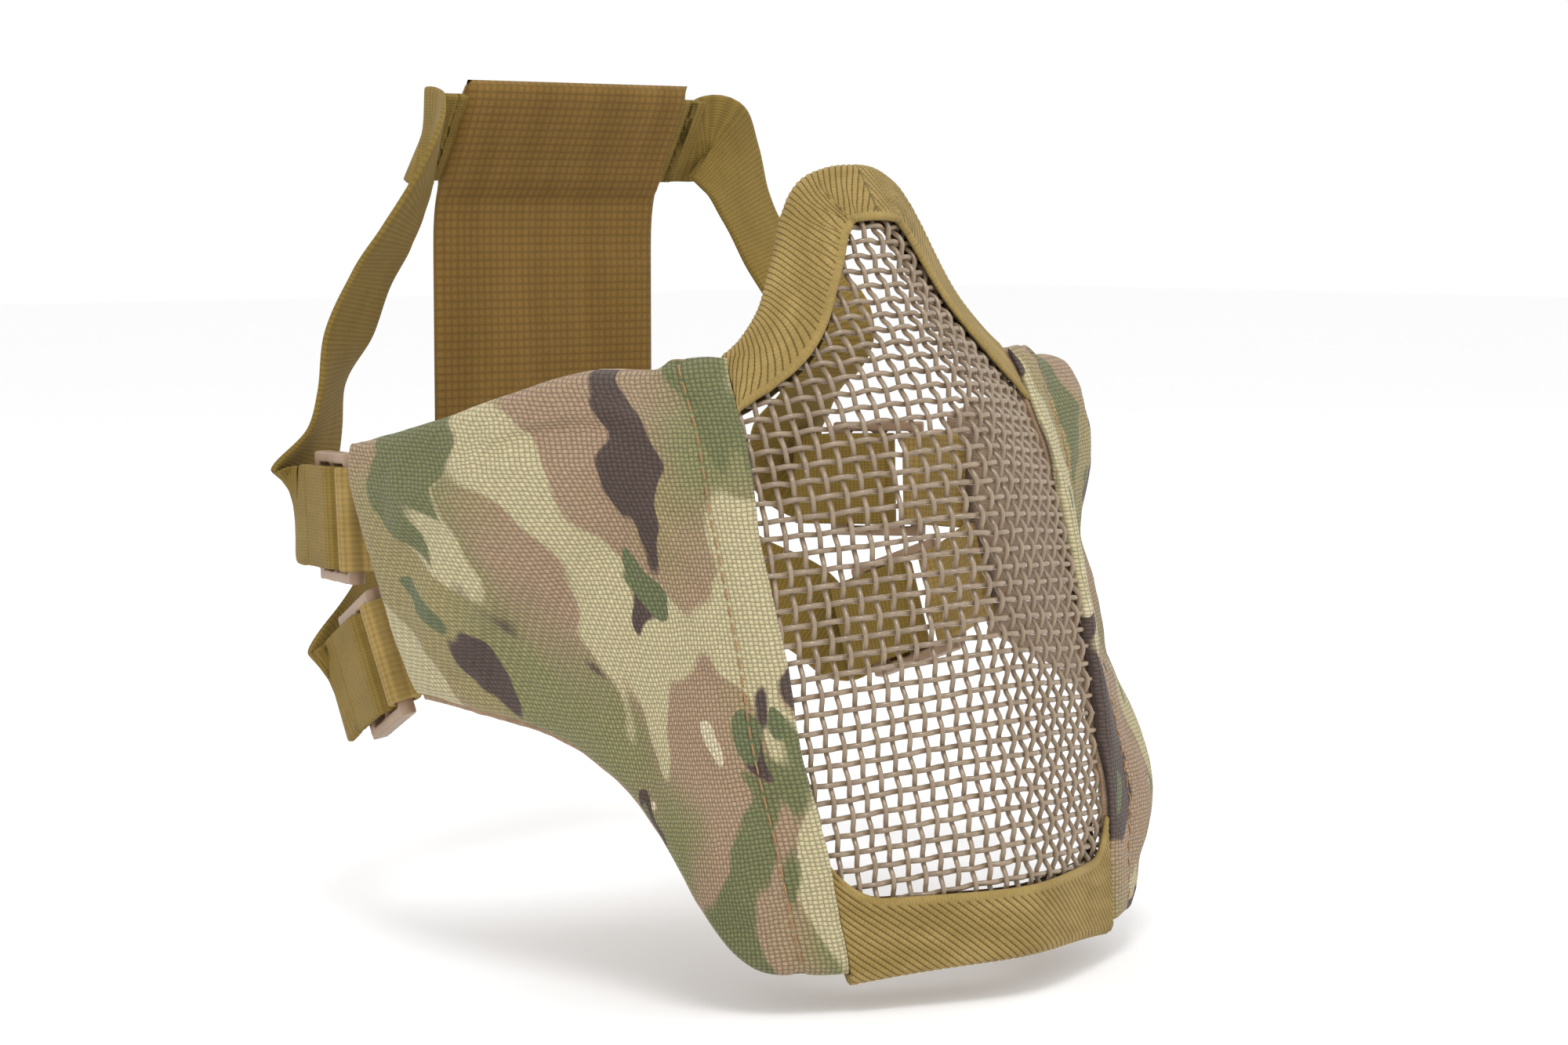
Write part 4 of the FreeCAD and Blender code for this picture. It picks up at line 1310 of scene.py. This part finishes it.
def remeshed(name, node, rounds, swell=0.0):
    """The node's own shape with its corners softened."""
    obj = bpy.data.objects.new(name, NODES[node].data.copy())
    bpy.context.scene.collection.objects.link(obj)
    obj.data.materials.clear()
    remesh = obj.modifiers.new("even", "REMESH")
    remesh.mode = "VOXEL"
    remesh.voxel_size = VOXEL
    smooth = obj.modifiers.new("soft", "SMOOTH")
    smooth.factor = 0.5
    smooth.iterations = rounds
    settle(obj)
    if swell:
        normal = np.array([v.normal[:] for v in obj.data.vertices])
        set_places(obj.data, places_of(obj.data) + normal * swell)
    return obj


def webbing_uv(obj, along, across):
    """u along and v across, from the places in the mesh."""
    place = places_of(obj.data)
    add_uv(obj.data, np.stack([place @ along, place @ across], axis=1))


def make_fittings():
    for side in ("left", "right"):
        flip = np.array([1 if side == "left" else -1, 1, 1])
        for level in ("upper", "lower"):
            _, rear, bar = (np.array(v) for v in STARTS[level])
            stem = side + "_" + level
            slider = remeshed(stem + "_slider_body", stem + "_buckle", 6)
            dress(slider, PLASTIC)
            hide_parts(stem + "_buckle")
            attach(slider, stem + "_slider")
            for name, node, body, material, slot in (
                    ("_webbing_end", "_strap_end", stem + "_slider", WEBBING, "elastic_webbing"),
                    ("_tab_webbing", "_tab", side + "_wing", TAB, "tab_webbing")):
                band = remeshed(stem + name, stem + node, 4, 0.00003)
                webbing_uv(band, rear * flip, bar * flip)
                dress(band, material)
                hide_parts(stem + node)
                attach(band, body)


# ---- head panel ---------------------------------------------------------------------------------
PANEL_CELL = 0.0011
PANEL_RIM = 0.0011


def make_panel():
    front, rear = tree_of("back_panel_front"), tree_of("back_panel_rear")
    low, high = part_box("back_panel_front")
    columns = int((high.x - low.x) / PANEL_CELL)
    rows = int((high.z - low.z) / PANEL_CELL)
    xs = np.linspace(low.x + 0.00005, high.x - 0.00005, columns)
    zs = np.linspace(low.z + 0.00015, high.z - 0.00015, rows)
    near = np.zeros((rows, columns))
    far = np.zeros((rows, columns))
    for i, z in enumerate(zs):
        for j, x in enumerate(xs):
            x_in = float(np.clip(x, low.x + 0.0004, high.x - 0.0004))
            z_in = float(np.clip(z, low.z + 0.0006, high.z - 0.0010))
            hit = front.ray_cast(Vector((x_in, -1, z_in)), Vector((0, 1, 0)))[0]
            back = rear.ray_cast(Vector((x_in, 1, z_in)), Vector((0, -1, 0)))[0]
            near[i, j] = hit.y if hit else math.nan
            far[i, j] = back.y if back else math.nan
    for field in (near, far):
        for j in range(columns):
            line = field[:, j]
            known = ~np.isnan(line)
            line[:] = np.interp(zs, zs[known], line[known])
    grid_x, grid_z = np.meshgrid(xs, zs)
    front_grid = np.stack([grid_x, near, grid_z], axis=-1)
    rear_grid = np.stack([grid_x, far, grid_z], axis=-1)
    middle = (front_grid + rear_grid) / 2
    eased = middle.copy()
    for _ in range(40):
        eased[1:-1, :, 1] = (eased[:-2, :, 1] + 2 * eased[1:-1, :, 1] + eased[2:, :, 1]) / 4
    shift = eased - middle
    front_grid, rear_grid, middle = front_grid + shift, rear_grid + shift, eased
    inset, up, _ = grid_inset(middle)
    bulge = rounded(inset, PANEL_RIM)
    stitch = np.zeros_like(inset)
    total = up[-1:]
    for line in (0.0022, 0.0240, total - 0.0260, total - 0.0018):
        stitch -= 0.00028 * np.exp(-((up - line) / 0.00055) ** 2)
    waves = np.zeros_like(inset)
    for i in range(rows):
        for j in range(columns):
            waves[i, j] = wander(grid_x[i, j] * 60, grid_z[i, j] * 28, 3.3)
            waves[i, j] += 0.35 * wander(grid_x[i, j] * 22, grid_z[i, j] * 190, 9.1)
    sway = 0.0007 * waves[..., None] * np.array([0, 1, 0]) * bulge
    half = (rear_grid - front_grid) / 2 * bulge
    lean_in = stitch[..., None] * np.array([0, 1, 0]) * bulge
    top = middle - half + sway - lean_in
    under = middle + half + sway + lean_in
    points, faces, index, back = closed_skin(top, under)
    faces = [f[:1] + f[:0:-1] for f in faces]
    uv = np.zeros((len(points), 2))
    for table in (back, index):
        uv[table.ravel(), 0] = grid_x.ravel()
        uv[table.ravel(), 1] = up.ravel()
    panel = make_piece("head_panel", points, faces, uv)
    dress(panel, PANEL)
    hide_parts("back_panel_front", "back_panel_rear")
    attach(panel, "rear_harness")


make_camera()
make_studio()
SHIELD = Shield()
make_wires(SHIELD)
make_bindings(SHIELD)
make_wings(Wing())
make_fittings()
make_runs()
make_cores()
make_panel()
